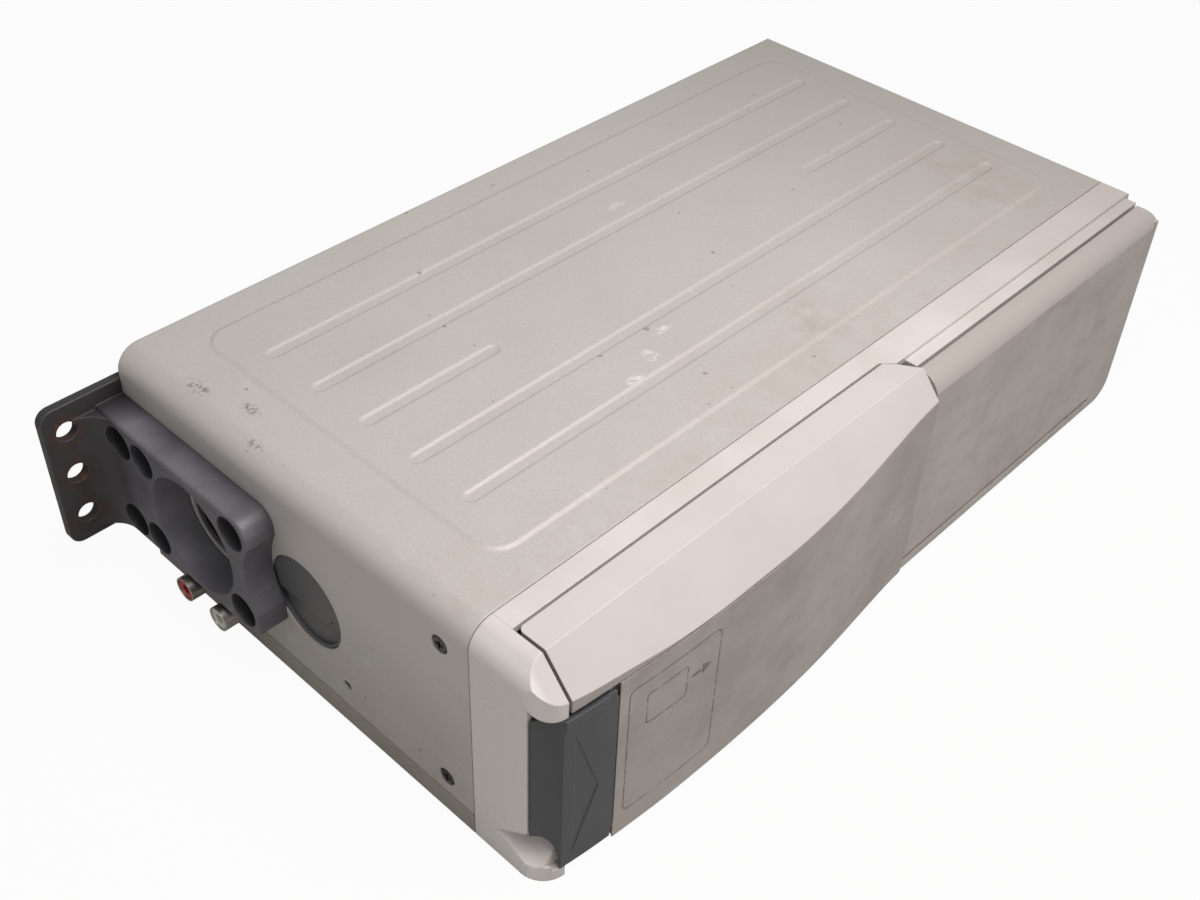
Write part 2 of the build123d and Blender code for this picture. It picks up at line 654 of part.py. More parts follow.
def make_damper_mounts():
    """Rubber buffers between the inner frame and the casing's sides."""
    profile = outline((0, 0), (5.5, 0), (5.5, 1.4), (3.6, 2.2), (3.6, 4.4), (5.5, 5.2), (5.5, 6.8), (0, 6.8))
    mounts = []
    for y, z in ((50, 24), (50, 62)):
        mounts.append(Pos(1.1, y, z) * Rot(0, 90, 0) * revolve(Plane.XZ * profile, Axis.Z))
    for y, z in ((60, 50), (150, 50)):
        short = round_x(y, z, 5.5, (304.1, 309.3))
        mounts.append(short - round_x(y, z, 2, (303, 310)))
    return mounts


def make_guide_posts():
    posts = []
    for x, y in POSTS:
        post = round_z(x, y, POST_RADIUS, (3.9, 80))
        posts.append(post + round_z(x, y, 3, (3.9, 5.0)))
    return posts


def pinion_place():
    reach = GEAR_MODULE * (SCREW_TEETH + PINION_TEETH) / 2
    return SCREW_X + reach * cos(radians(PINION_TURN)), SCREW_Y + reach * sin(radians(PINION_TURN))


def make_lift_motor():
    x, y = pinion_place()
    motor = round_z(x, y, 6.0, (9.0, 33.0))
    motor += round_z(x, y, 2.5, (33.0, 34.5))
    motor += block((x - 5, x + 5), (y, 175.8), (12, 15))
    return motor - round_z(x, y, 0.85, (0, 20))


def make_motor_pinion():
    x, y = pinion_place()
    face = Rot(0, 0, PINION_TURN + 180) * gear_face(PINION_TEETH)
    pinion = Pos(x, y, 4.5) * extrude(face, amount=3)
    return pinion + round_z(x, y, 0.8, (7.0, 18))


def make_lift_screw():
    return round_z(SCREW_X, SCREW_Y, SCREW_RADIUS, (7.5, 79)) + round_z(SCREW_X, SCREW_Y, 1.5, (79, 81))


def make_lift_gear():
    # a tooth of this gear faces the pinion's gap
    face = Rot(0, 0, PINION_TURN + 180.0 / SCREW_TEETH) * gear_face(SCREW_TEETH)
    gear = Pos(SCREW_X, SCREW_Y, 4.5) * extrude(face, amount=3.0)
    return gear


def make_lift_deck():
    """Plate that rises and falls behind the magazine and carries the player."""
    z = (DECK_Z, DECK_Z + DECK_THICK)
    deck = along_z(Pos(229.5, 95) * RectangleRounded(143, 131, 3), z)
    deck += block((224, 234), (158, 163 + 6), z)
    for x, y in POSTS:
        deck += round_z(x, y, 2.6, (DECK_Z, DECK_Z + 6))
    for x, y in POSTS[:2]:
        deck += block((x - 2, x + 2), (159, y), z)
    deck += block((POSTS[2][0] - 2.4, POSTS[2][0] + 2.2), (29, 36), z)
    deck -= along_z(Pos(268.5, 93) * RectangleRounded(57, 26, 2), (20, 40))
    deck -= round_z(SPINDLE_X, DISC_Y, 5, (20, 40))
    deck -= along_z(Pos(190, 60) * RectangleRounded(40, 36, 4), (20, 40))
    deck -= along_z(Pos(190, 128) * RectangleRounded(40, 36, 4), (20, 40))
    # ears of the clamp arm's pivot
    for y in ((62, 65), (121, 124)):
        ear = block((296.4, 300.9), y, (DECK_Z, CLAMP_PIVOT_Z + 2.2))
        deck += ear
        deck -= round_y(CLAMP_PIVOT_X, CLAMP_PIVOT_Z, 1.0, (y[0] - 1, y[1] + 1))
    # nut on the lift screw
    deck += block((224, 234), (158.5, 169), (DECK_Z, DECK_Z + 9))
    deck -= round_z(SCREW_X, SCREW_Y, SCREW_RADIUS + RUNNING_GAP, (20, 60))
    for x, y in POSTS:
        deck -= round_z(x, y, POST_RADIUS + RUNNING_GAP, (20, 60))
    return deck


def make_tray_guides():
    """Front and rear channels that take the tray's edges on the deck."""
    z = tray_height(PLAY_TRAY)
    top = DECK_Z + DECK_THICK
    low = z - TRAY_THICK / 2 - 0.5
    high = z + TRAY_THICK / 2 + 0.5
    front = block((162, 295.5), (30.3, 33), (top, low - 0.1))
    front += block((162, 292), (27.0, 31.2), (low - 1, low - 0.1))
    front += block((162, 292), (27.0, 29.6), (low - 1, high + 1))
    front += block((162, 292), (27.0, 31.2), (high, high + 1))
    rear = block((162, 295.5), (153, 157.5), (top, low - 0.1))
    rear += block((162, 295.5), (154.8, 158.4), (low - 1, low - 0.1))
    rear += block((162, 295.5), (156.4, 158.4), (low - 1, high + 1))
    rear += block((162, 295.5), (154.8, 158.4), (high, high + 1))
    return [front, rear]


def make_spindle_motor():
    motor = round_z(SPINDLE_X, DISC_Y, 12, (24.6, DECK_Z))
    return motor - round_z(SPINDLE_X, DISC_Y, 1.05, (26, 30))


def make_turntable():
    table = round_z(SPINDLE_X, DISC_Y, 14, (30.4, 31.6))
    hub = round_z(SPINDLE_X, DISC_Y, 7.2, (31.6, 33.6))
    table += hub
    table += Pos(SPINDLE_X, DISC_Y, 33.6) * extrude(Circle(7.2), amount=1.1, taper=35)
    table += round_z(SPINDLE_X, DISC_Y, 1.0, (26.3, 31))
    return table


def make_sled_rod():
    rod = round_x(72, 26.6, 1.2, (236, 301))
    rod += block((299, 301), (69, 75), (25, DECK_Z))
    rod += block((236, 238), (69, 75), (25, DECK_Z))
    return rod


def make_sled_motor():
    motor = block((218, 236), (110, 120), (24.8, DECK_Z))
    motor += block((299.4, 301), (112, 118), (24.8, DECK_Z))
    return motor - round_x(115, 26.5, 0.65, (230, 302))


def make_sled_screw():
    return round_x(115, 26.5, 1.1, (236.4, 299.0)) + round_x(115, 26.5, 0.6, (231, 300.8))


def make_pickup_carriage():
    body = block((244, 262), (69.5, 118.5), (24.9, 28.0))
    body += block((246, 260), (84, 102), (27.0, 33.2))
    body -= round_x(72, 26.6, 1.2 + RUNNING_GAP, (240, 265))
    body -= round_x(115, 26.5, 1.1 + RUNNING_GAP, (240, 265))
    return body - round_z(253, DISC_Y, 4.0, (31, 36))


def make_pickup_lens():
    lens = round_z(253, DISC_Y, 3.95, (31, 33.4)) + round_z(253, DISC_Y, 3.0, (33.4, 33.9))
    dome = Pos(253, DISC_Y, 31.6) * Sphere(3.0)
    return lens + (dome & round_z(253, DISC_Y, 1.9, (33, 34.6)))


def make_clamp_pin():
    return round_y(CLAMP_PIVOT_X, CLAMP_PIVOT_Z, 1.0, (61.5, 124.5))


def make_clamp_arm():
    plan = outline(
        (300.4, 65.6), (300.4, 120.4), (288, 120.4), (246, 103), (222, 103), (216, 97), (216, 89), (222, 83),
        (246, 83), (288, 65.6))
    arm = along_z(plan, (47.2, 48.6))
    arm -= along_z(Pos(262, 93) * SlotOverall(34, 12), (40, 50))
    for y in ((66, 74), (112, 120)):
        arm += round_y(CLAMP_PIVOT_X, CLAMP_PIVOT_Z, 1.9, y)
        arm += block((CLAMP_PIVOT_X - 1.7, CLAMP_PIVOT_X + 1.7), y, (CLAMP_PIVOT_Z, 48))
    arm -= round_y(CLAMP_PIVOT_X, CLAMP_PIVOT_Z, 1.0 + RUNNING_GAP, (60, 126))
    return arm - round_z(SPINDLE_X, DISC_Y, 3.4, (40, 52))


def make_clamp_puck():
    puck = round_z(SPINDLE_X, DISC_Y, 11, (44.3, 46.8))
    puck -= round_z(SPINDLE_X, DISC_Y, 7.6, (44, 45.2))
    puck += round_z(SPINDLE_X, DISC_Y, 3.0, (46.5, 49.0))
    return puck + round_z(SPINDLE_X, DISC_Y, 5.0, (49.0, 50.0))


# ---- Board ----


def make_circuit_board():
    board = block((10, 148), (62, 175), (77.9, 79.4))
    for x, y in ((14, 66), (14, 104), (30, 171), (140, 171)):
        board -= round_z(x, y, 1.6, (77, 80))
    return board


def make_board_chips():
    chips = []
    for x, y, size in CHIPS:
        chips.append(block((x - size / 2, x + size / 2), (y - size / 2, y + size / 2), (79.4, 81.4)))
    return chips


def make_board_sockets():
    sockets = []
    for x, y, length in ((30, 150, 18), (100, 70, 30)):
        socket = block((x, x + length), (y, y + 6), (73.5, 77.9))
        sockets.append(socket - block((x + 1, x + length - 1), (y + 1.5, y + 4.5), (72, 76.5)))
    return sockets


# ---- Side fittings ----


def make_bracket():
    """Thick side plate with a waisted front edge, a flared window and a flange at the rear."""
    (y0, y1), (z0, z1) = BRACKET_Y, BRACKET_Z
    middle = (z0 + z1) / 2 + 0.5
    lines = Polyline((y1, z0), (y0 + 1.5, z0), (y0, z0 + 1.5), (y0, z0 + 9))
    lines += Spline((y0, z0 + 9), (y0 + BRACKET_WAIST, middle), (y0, z1 - 9))
    lines += Polyline((y0, z1 - 9), (y0, z1 - 6))
    lines += ThreePointArc((y0, z1 - 6), (y0 + 1.76, z1 - 1.76), (y0 + 6, z1))
    lines += Polyline((y0 + 6, z1), (y1, z1), (y1, z0))
    plate = along_x(make_face(lines), (-BRACKET_THICK, 0))
    top_edges = plate.edges().filter_by(Axis.Y).group_by(Axis.X)[0].group_by(Axis.Z)[-1]
    plate = fillet(top_edges, 1.2)
    flange = block(FLANGE_X, (DEPTH, DEPTH + FLANGE_THICK), FLANGE_Z)
    flange = fillet(flange.edges().filter_by(Axis.Y).group_by(Axis.X)[0], 4.5)
    # web that sweeps the side plate out into the flange
    sweep_out = outline((-BRACKET_THICK, y1), (-BRACKET_THICK, y1 - 9), (-BRACKET_THICK - 9, y1))
    bend = along_z(sweep_out, (z0, z1 - 1))
    bend -= round_z(-BRACKET_THICK - 9, y1 - 9, 9, (z0 - 1, z1 + 1))
    bracket = plate + flange + bend
    window = Pos(-BRACKET_THICK, WINDOW_Y, WINDOW_Z) * Rot(0, 90, 0) * Cone(
        WINDOW_OUTER, WINDOW_INNER, BRACKET_THICK, align=(Align.CENTER, Align.CENTER, Align.MIN))
    bracket -= window
    for y, z in BRACKET_HOLES:
        bracket -= round_x(y, z, COUNTERBORE, (-BRACKET_THICK - 1, -4.2))
        bracket -= round_x(y, z, 2.2, (-BRACKET_THICK - 1, 1))
    for step in (-1, 0, 1):
        z = FLANGE_MIDDLE + step * FLANGE_PITCH
        bracket -= round_y(FLANGE_HOLE_X, z, FLANGE_HOLE, (DEPTH - 1, DEPTH + 4))
    return bracket


def side_screw(y, z, seat, head, shank, length, height):
    """Pan-head screw that points to +X, with its head's underside at the seat."""
    screw = round_x(y, z, shank, (seat, seat + length))
    dome = round_x(y, z, head, (seat - height, seat))
    rim = dome.edges().filter_by(GeomType.CIRCLE).group_by(Axis.X)[0]
    screw += chamfer(rim, height * 0.5)
    reach = head * 0.55
    for across, up in ((reach, 0.4), (0.4, reach)):
        screw -= block((seat - height - 0.1, seat - height * 0.4), (y - across, y + across), (z - up, z + up))
    return screw


def make_bracket_screws():
    return [side_screw(y, z, -4.2, 3.9, 2.1, 6.6, 2.2) for y, z in FITTED_SCREWS]


def make_case_screws():
    screws = []
    for y, z in SIDE_SCREWS:
        screw = side_screw(y, z, 1.2, 2.8, 1.6, 4.0, 1.3)
        screws.append(screw)
        screws.append(mirrored(screw))
    return screws


def make_dial():
    """Round coin-turned plate with its lower half set back along a dividing line."""
    dial = round_x(DIAL_Y, DIAL_Z, DIAL_RADIUS, (0.5, 4.6))
    half = block((0.0, 1.7), (70, 120), (20, DIAL_Z - 2.5))
    dial -= half & round_x(DIAL_Y, DIAL_Z, DIAL_RADIUS - 0.8, (0, 5))
    dial -= block((0.0, 2.9), (DIAL_Y - 14.7, DIAL_Y + 14.7), (DIAL_Z - 3.2, DIAL_Z - 2.5))
    dial -= along_x(outline((82.0, DIAL_Z - 2.5), (86.5, DIAL_Z - 2.5), (84.3, DIAL_Z + 0.8)), (0.0, 1.3))
    return dial + round_x(DIAL_Y, DIAL_Z, 8.0, (4.6, 5.8))


def make_jack_housing():
    """Moulded block behind the jacks and the round socket."""
    low, high = min(JACK_Y) - 9, max(JACK_Y) + 9
    housing = block((1.1, 9.0), (low, high), (9.6, 26.0))
    for y in JACK_Y:
        housing += round_x(y, JACK_Z, 5.4, (-3.0, 2.0))
    for y in JACK_Y:
        housing -= round_x(y, JACK_Z, 4.2, (-4.0, 6.0))
    return housing


def make_jack_sleeves():
    sleeves = []
    for y in JACK_Y:
        sleeve = round_x(y, JACK_Z, 4.2, (-JACK_REACH, 6.0)) - round_x(y, JACK_Z, 3.7, (-JACK_REACH - 1, 7))
        sleeves.append(sleeve)
    return sleeves


def make_jack_core(y):
    core = round_x(y, JACK_Z, 3.7, (-JACK_REACH + 0.4, 6.0))
    return core - round_x(y, JACK_Z, 1.65, (-JACK_REACH - 1, 1.0))


def make_bus_socket():
    socket = round_x(WINDOW_Y, WINDOW_Z, SOCKET_HOLE + 1.1, (SHEET, SHEET + 1.2))
    socket += round_x(WINDOW_Y, WINDOW_Z, 10.7, (-0.8, SHEET + 0.1))
    socket += round_x(WINDOW_Y, WINDOW_Z, 9.6, (SHEET, 12.0))
    return socket - round_x(WINDOW_Y, WINDOW_Z, 8.3, (-2, 10.5))


def make_bus_pins():
    pins = [round_x(WINDOW_Y, WINDOW_Z, 5.6, (8.0, 10.5)) - round_x(WINDOW_Y, WINDOW_Z, 0.1, (7, 8))]
    ring = 8
    for step in range(ring):
        turn = 2 * pi * step / ring
        pin = round_x(WINDOW_Y + 3.8 * cos(turn), WINDOW_Z + 3.8 * sin(turn), 0.5, (4.6, 8.5))
        pins[0] += pin
    return pins


def make_eject_button():
    button = block((158.3, 166.2), (8.6, 18.0), (30.3, 43.7))
    button = fillet(button.edges().group_by(Axis.Y)[0], 0.8)
    return button + block((160.3, 164.2), (17.5, 21.8), (34.3, 39.7))


def main():
    os.makedirs("parts", exist_ok=True)
    save("top_cover", make_top_cover())
    save("base_pan", make_base_pan())
    save("front_bezel", make_front_bezel())
    save("bezel_corner", make_bezel_corner())
    save("bay_bulkhead", make_bay_bulkhead())
    save("brow_trim", make_brow_trim())
    save("front_panel", make_front_panel())
    save("door_rail", make_door_rail())
    save("sliding_door", make_sliding_door())
    save("door_shoes", *make_door_shoes())
    save("door_catch", make_door_catch())
    save("catch_pin", round_z(CATCH_PIN_X, CATCH_PIN_Y, PIN_RADIUS, PIN_Z))
    save("catch_spring", make_catch_spring())
    numbers = [n for n in range(1, TRAY_COUNT + 1) if n != PLAY_TRAY]
    save("magazine_shell", make_magazine_shell())
    save("stored_trays", *[make_tray(n) for n in numbers])
    save("stored_discs", *[make_disc(n) for n in numbers])
    save("play_tray", make_tray(PLAY_TRAY))
    save("play_disc", make_disc(PLAY_TRAY))
    save("eject_button", make_eject_button())
    save("mechanism_chassis", make_mechanism_chassis())
    save("bay_runners", *make_bay_runners())
    save("damper_mounts", *make_damper_mounts())
    save("guide_posts", *make_guide_posts())
    save("lift_motor", make_lift_motor())
    save("motor_pinion", make_motor_pinion())
    save("lift_screw", make_lift_screw())
    save("lift_gear", make_lift_gear())
    save("lift_deck", make_lift_deck())
    save("tray_guides", *make_tray_guides())
    save("spindle_motor", make_spindle_motor())
    save("turntable", make_turntable())
    save("sled_rod", make_sled_rod())
    save("sled_motor", make_sled_motor())
    save("sled_screw", make_sled_screw())
    save("pickup_carriage", make_pickup_carriage())
    save("pickup_lens", make_pickup_lens())
    save("clamp_pin", make_clamp_pin())
    save("clamp_arm", make_clamp_arm())
    save("clamp_puck", make_clamp_puck())
    save("circuit_board", make_circuit_board())
    save("board_chips", *make_board_chips())
    save("board_sockets", *make_board_sockets())
    save("mounting_bracket", make_bracket())
    save("bracket_screws", *make_bracket_screws())
    save("case_screws", *make_case_screws())
    save("left_dial", make_dial())
    save("right_dial", mirrored(make_dial()))
    save("jack_housing", make_jack_housing())
    save("jack_sleeves", *make_jack_sleeves())
    save("white_jack_core", make_jack_core(JACK_Y[0]))
    save("red_jack_core", make_jack_core(JACK_Y[1]))
    save("bus_socket", make_bus_socket())
    save("bus_pins", *make_bus_pins())


main()
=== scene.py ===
# %% [markdown]
# # A trunk-mounted disc changer
# This lesson dresses a finished mechanical model. The pieces, their sizes and the way they move
# are already fixed, and arrive as a frame. What is left is the part that a camera sees: paint,
# moulded plastic, rust, wear, light and the small printed details.

# %% Load the frame
import json
import math

import bmesh
import bpy
from mathutils import Matrix, Vector

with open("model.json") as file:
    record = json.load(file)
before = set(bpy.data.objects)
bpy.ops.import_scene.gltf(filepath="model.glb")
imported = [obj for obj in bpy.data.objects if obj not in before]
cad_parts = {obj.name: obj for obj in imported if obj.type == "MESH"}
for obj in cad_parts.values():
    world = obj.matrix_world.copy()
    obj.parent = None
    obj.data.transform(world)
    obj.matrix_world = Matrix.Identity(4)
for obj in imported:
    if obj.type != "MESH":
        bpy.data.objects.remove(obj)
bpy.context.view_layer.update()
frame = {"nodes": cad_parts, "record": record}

# %% [markdown]
# ## Units and a place to measure from
# Blender works in metres here, but a casing is easier to read in millimetres from one corner. The
# helper below turns such a corner measurement into the frame, whose origin is the middle of the
# base.

# %% Units
MM = 0.001
LENGTH = 310.5
DEPTH = 181.0
LID_Z = 85.0


def at(x, y, z):
    """A point in millimetres from the casing's front left bottom corner."""
    return Vector((x - LENGTH / 2, y - DEPTH / 2, z)) * MM


print("the front left corner is at", tuple(round(v, 4) for v in at(0, 0, 0)))

# %% [markdown]
# ## Camera
# The photograph was taken from the front left, looking down. A camera is set by where it stands,
# the compass heading, the downward tilt and a slight roll, in that order, so the numbers stay
# readable. The two small shifts stand for the way the picture was cropped.

# %% Camera
CAMERA_PLACE = Vector((-0.3140, -0.2512, 0.3573))
HEADING = math.radians(48.54)
TILT = math.radians(41.21)
ROLL = math.radians(2.95)
SENSOR_MM = 36.0
LENS_MM = 44.3
CROP_SHIFT = (-0.0139, 0.0028)
NEAREST_SEEN = 0.01

camera_data = bpy.data.cameras.new("camera")
camera = bpy.data.objects.new("camera", camera_data)
bpy.context.scene.collection.objects.link(camera)
headed = Matrix.Rotation(-HEADING, 4, "Z")
tilted = Matrix.Rotation(math.pi / 2 - TILT, 4, "X")
rolled = Matrix.Rotation(ROLL, 4, "Z")
camera.matrix_world = Matrix.Translation(CAMERA_PLACE) @ headed @ tilted @ rolled
camera_data.sensor_width = SENSOR_MM
camera_data.lens = LENS_MM
camera_data.shift_x, camera_data.shift_y = CROP_SHIFT
camera_data.clip_start = NEAREST_SEEN
bpy.context.scene.camera = camera
print("camera at", tuple(round(v, 3) for v in camera.location))

# %% [markdown]
# ## Lamp
# The picture is lit by one wide soft lamp above the front, a little left of the middle. The lid is
# brightest, the front comes next and the left side lies in shade. A wide lamp keeps the shadows
# soft. The Standard view shows the colours as they are set, which makes them easy to compare with
# a photo.

# %% Lamp
LAMP_PLACE = Vector((-0.04, -0.24, 0.56))
LAMP_AIM = Vector((0, 0, 0.04))
LAMP_SIZE = (0.46, 0.36)
LAMP_WATTS = 3.45
LAMP_COLOR = (1.0, 0.985, 0.97)

scene = bpy.context.scene
scene.view_settings.view_transform = "Standard"

lamp_data = bpy.data.lights.new("overhead_softbox", "AREA")
lamp_data.shape = "RECTANGLE"
lamp_data.size, lamp_data.size_y = LAMP_SIZE
lamp_data.energy = LAMP_WATTS
lamp_data.color = LAMP_COLOR
lamp = bpy.data.objects.new("overhead_softbox", lamp_data)
scene.collection.objects.link(lamp)
lamp.location = LAMP_PLACE
lamp.rotation_euler = (LAMP_AIM - LAMP_PLACE).to_track_quat("-Z", "Y").to_euler()
print("lamp of", lamp_data.energy, "W")

# %% [markdown]
# ## Room
# The room gives a weak even light from all sides, which fills the shade. The camera, and a look
# through clear plastic, sees it as plain white, like the background of a catalogue picture. The
# Light Path node tells the two apart.

# %% Room
WHITE = (1.0, 1.0, 1.0, 1.0)
ROOM_LIGHT = 0.36
ROOM_SEEN = 1.0

room = bpy.data.worlds.new("room")
room.use_nodes = True
scene.world = room
sky = room.node_tree.nodes["Background"]
rays = room.node_tree.nodes.new("ShaderNodeLightPath")
seen = room.node_tree.nodes.new("ShaderNodeMath")
seen.operation = "MAXIMUM"
level = room.node_tree.nodes.new("ShaderNodeMapRange")
level.inputs["To Min"].default_value = ROOM_LIGHT
level.inputs["To Max"].default_value = ROOM_SEEN
room.node_tree.links.new(rays.outputs["Is Camera Ray"], seen.inputs[0])
room.node_tree.links.new(rays.outputs["Is Transmission Ray"], seen.inputs[1])
room.node_tree.links.new(seen.outputs[0], level.inputs["Value"])
room.node_tree.links.new(level.outputs["Result"], sky.inputs["Strength"])
sky.inputs["Color"].default_value = WHITE
print("room light", ROOM_LIGHT)

# %% [markdown]
# ## Floor
# The floor is a sheet of white paper. It is a plain mesh, far wider than the object, and not part
# of the model. A picture on a white ground has only a trace of shadow, so the camera sees the
# sheet mostly glowing. The object itself sees a plain grey sheet, which keeps its shaded sides
# dark.

# %% Floor
FLOOR_SIZE = 6.0
SHEET_GLOW = 0.95
SHEET_GREY = (0.50, 0.49, 0.47, 1)
SHEET_ROUGHNESS = 0.9

sheet = bmesh.new()
bmesh.ops.create_grid(sheet, x_segments=1, y_segments=1, size=FLOOR_SIZE / 2)
floor_mesh = bpy.data.meshes.new("floor")
sheet.to_mesh(floor_mesh)
sheet.free()
floor = bpy.data.objects.new("floor", floor_mesh)
scene.collection.objects.link(floor)

paper = bpy.data.materials.new("white_paper")
paper.use_nodes = True
sheet_shader = paper.node_tree.nodes["Principled BSDF"]
sheet_shader.inputs["Base Color"].default_value = SHEET_GREY
sheet_shader.inputs["Roughness"].default_value = SHEET_ROUGHNESS
glow = paper.node_tree.nodes.new("ShaderNodeEmission")
glow.inputs["Color"].default_value = WHITE
eye = paper.node_tree.nodes.new("ShaderNodeLightPath")
share = paper.node_tree.nodes.new("ShaderNodeMath")
share.operation = "MULTIPLY"
share.inputs[1].default_value = SHEET_GLOW
blend = paper.node_tree.nodes.new("ShaderNodeMixShader")
result = paper.node_tree.nodes["Material Output"]
paper.node_tree.links.new(eye.outputs["Is Camera Ray"], share.inputs[0])
paper.node_tree.links.new(share.outputs[0], blend.inputs[0])
paper.node_tree.links.new(sheet_shader.outputs[0], blend.inputs[1])
paper.node_tree.links.new(glow.outputs[0], blend.inputs[2])
paper.node_tree.links.new(blend.outputs[0], result.inputs["Surface"])
floor_mesh.materials.append(paper)
print("floor", FLOOR_SIZE, "m wide")

# %% [markdown]
# ## A small workshop for finishes
# Every finish below starts from the same shader and adds what its real surface shows: grain,
# patches, wear on the edges, dirt. The workshop is built in three steps. The first keeps the node
# tree and does arithmetic with it. All patterns read Object coordinates, so they are in real
# metres and stay on the piece as it moves.

# %% Wiring


class Wiring:
    """A material's node tree, with arithmetic on its sockets."""

    def __init__(self, name, roughness, metallic=0.0, specular=0.5):
        self.material = bpy.data.materials.new(name)
        self.material.use_nodes = True
        self.tree = self.material.node_tree
        self.shader = self.tree.nodes["Principled BSDF"]
        self.shader.inputs["Roughness"].default_value = roughness
        self.shader.inputs["Metallic"].default_value = metallic
        self.shader.inputs["Specular IOR Level"].default_value = specular
        self.place = self.node("ShaderNodeTexCoord").outputs["Object"]
        split = self.node("ShaderNodeSeparateXYZ")
        self.link(self.place, split.inputs[0])
        self.axis = {"x": split.outputs[0], "y": split.outputs[1], "z": split.outputs[2]}

    def node(self, kind, **settings):
        made = self.tree.nodes.new(kind)
        for name, value in settings.items():
            setattr(made, name, value)
        return made

    def link(self, out, into):
        self.tree.links.new(out, into)

    def math(self, operation, first, second=None):
        """One arithmetic step on sockets or plain numbers."""
        made = self.node("ShaderNodeMath", operation=operation)
        for socket, value in zip(made.inputs, (first, second)):
            if value is None:
                continue
            if hasattr(value, "is_linked"):
                self.link(value, socket)
            else:
                socket.default_value = value
        return made.outputs[0]

    def times(self, product, *factors):
        """All of these sockets or numbers multiplied."""
        for factor in factors:
            product = self.math("MULTIPLY", product, factor)
        return product

    def off(self, axis, centre):
        """How far a point lies from the plane where this axis has this value."""
        return self.math("ABSOLUTE", self.math("SUBTRACT", self.axis[axis], centre))

    def between(self, value, low, high, to_low=0.0, to_high=1.0):
        """Carries a value from one range to another and stops at the ends."""
        made = self.node("ShaderNodeMapRange", clamp=True)
        self.link(value, made.inputs["Value"])
        made.inputs["From Min"].default_value = low
        made.inputs["From Max"].default_value = high
        made.inputs["To Min"].default_value = to_low
        made.inputs["To Max"].default_value = to_high
        return made.outputs["Result"]

    def mix(self, amount, first, second):
        """Two colours, or a colour socket and a colour, by an amount from 0 to 1."""
        made = self.node("ShaderNodeMix", data_type="RGBA")
        self.link(amount, made.inputs["Factor"])
        for socket, value in ((made.inputs[6], first), (made.inputs[7], second)):
            if hasattr(value, "is_linked"):
                self.link(value, socket)
            else:
                socket.default_value = (*value, 1.0)
        return made.outputs[2]


print("wiring has", len([name for name in vars(Wiring) if name[0] != "_"]), "tools")

# %% [markdown]
# ## Patterns
# The second step says where on a surface something happens: in clouds of noise, near one point, on
# the edges, in the hollows or on level faces. Each answer is a number from 0 to 1, ready for a
# mix.

# %% Patterns
EDGE_SAMPLES = 6
HOLLOW_SAMPLES = 8


class Patterns(Wiring):
    """Numbers from 0 to 1 that say where a colour or a wear mark goes."""

    def noise(self, size_mm, detail=2.0, rough=0.5, stretch=(1, 1, 1)):
        """Cloudy noise whose lumps are about this many millimetres across."""
        mapping = self.node("ShaderNodeMapping")
        mapping.inputs["Scale"].default_value = stretch
        self.link(self.place, mapping.inputs["Vector"])
        made = self.node("ShaderNodeTexNoise")
        made.inputs["Scale"].default_value = 1.0 / (size_mm * MM)
        made.inputs["Detail"].default_value = detail
        made.inputs["Roughness"].default_value = rough
        self.link(mapping.outputs[0], made.inputs["Vector"])
        return made.outputs["Fac"]

    def spot(self, centre, radius_mm, soft_mm, squeeze=(1, 1, 1)):
        """One near a point and zero away from it, for stains, rust rings and dabs."""
        shift = self.node("ShaderNodeVectorMath", operation="SUBTRACT")
        self.link(self.place, shift.inputs[0])
        shift.inputs[1].default_value = centre
        scale = self.node("ShaderNodeVectorMath", operation="MULTIPLY")
        self.link(shift.outputs[0], scale.inputs[0])
        scale.inputs[1].default_value = squeeze
        far = self.node("ShaderNodeVectorMath", operation="LENGTH")
        self.link(scale.outputs[0], far.inputs[0])
        rim = (radius_mm + soft_mm) * MM
        return self.between(far.outputs["Value"], radius_mm * MM, rim, 1.0, 0.0)

    def rounded(self, radius_mm):
        """The normal of a surface whose edges were rounded by this radius."""
        made = self.node("ShaderNodeBevel", samples=EDGE_SAMPLES)
        made.inputs["Radius"].default_value = radius_mm * MM
        return made.outputs[0]

    def edges(self, radius_mm):
        """One on sharp outer and inner edges, where the rounded and the true normal differ."""
        true = self.node("ShaderNodeNewGeometry")
        dot = self.node("ShaderNodeVectorMath", operation="DOT_PRODUCT")
        self.link(self.rounded(radius_mm), dot.inputs[0])
        self.link(true.outputs["Normal"], dot.inputs[1])
        return self.between(dot.outputs["Value"], 0.99, 0.80)

    def hollows(self, reach_mm):
        """One in open places, falling towards zero in holes and corners, where shade falls; used
        to paint shade.
        """
        made = self.node("ShaderNodeAmbientOcclusion", samples=HOLLOW_SAMPLES)
        made.inputs["Distance"].default_value = reach_mm * MM
        return made.outputs["AO"]

    def facing_up(self, low, high):
        """Carries the upward part of the face's normal, 0 on a wall and 1 on a level face."""
        facing = self.node("ShaderNodeNewGeometry")
        parts = self.node("ShaderNodeSeparateXYZ")
        self.link(facing.outputs["True Normal"], parts.inputs[0])
        return self.between(parts.outputs[2], low, high)


print("patterns has", len([name for name in vars(Patterns) if name[0] != "_"]), "tools")

# %% [markdown]
# ## Surface
# The third step hands the results to the shader: colour, roughness and a fine bump. The bump rests
# on rounded normals, so that even a sharp modelled edge catches a thin line of light, as real
# edges do.

# %% Surface


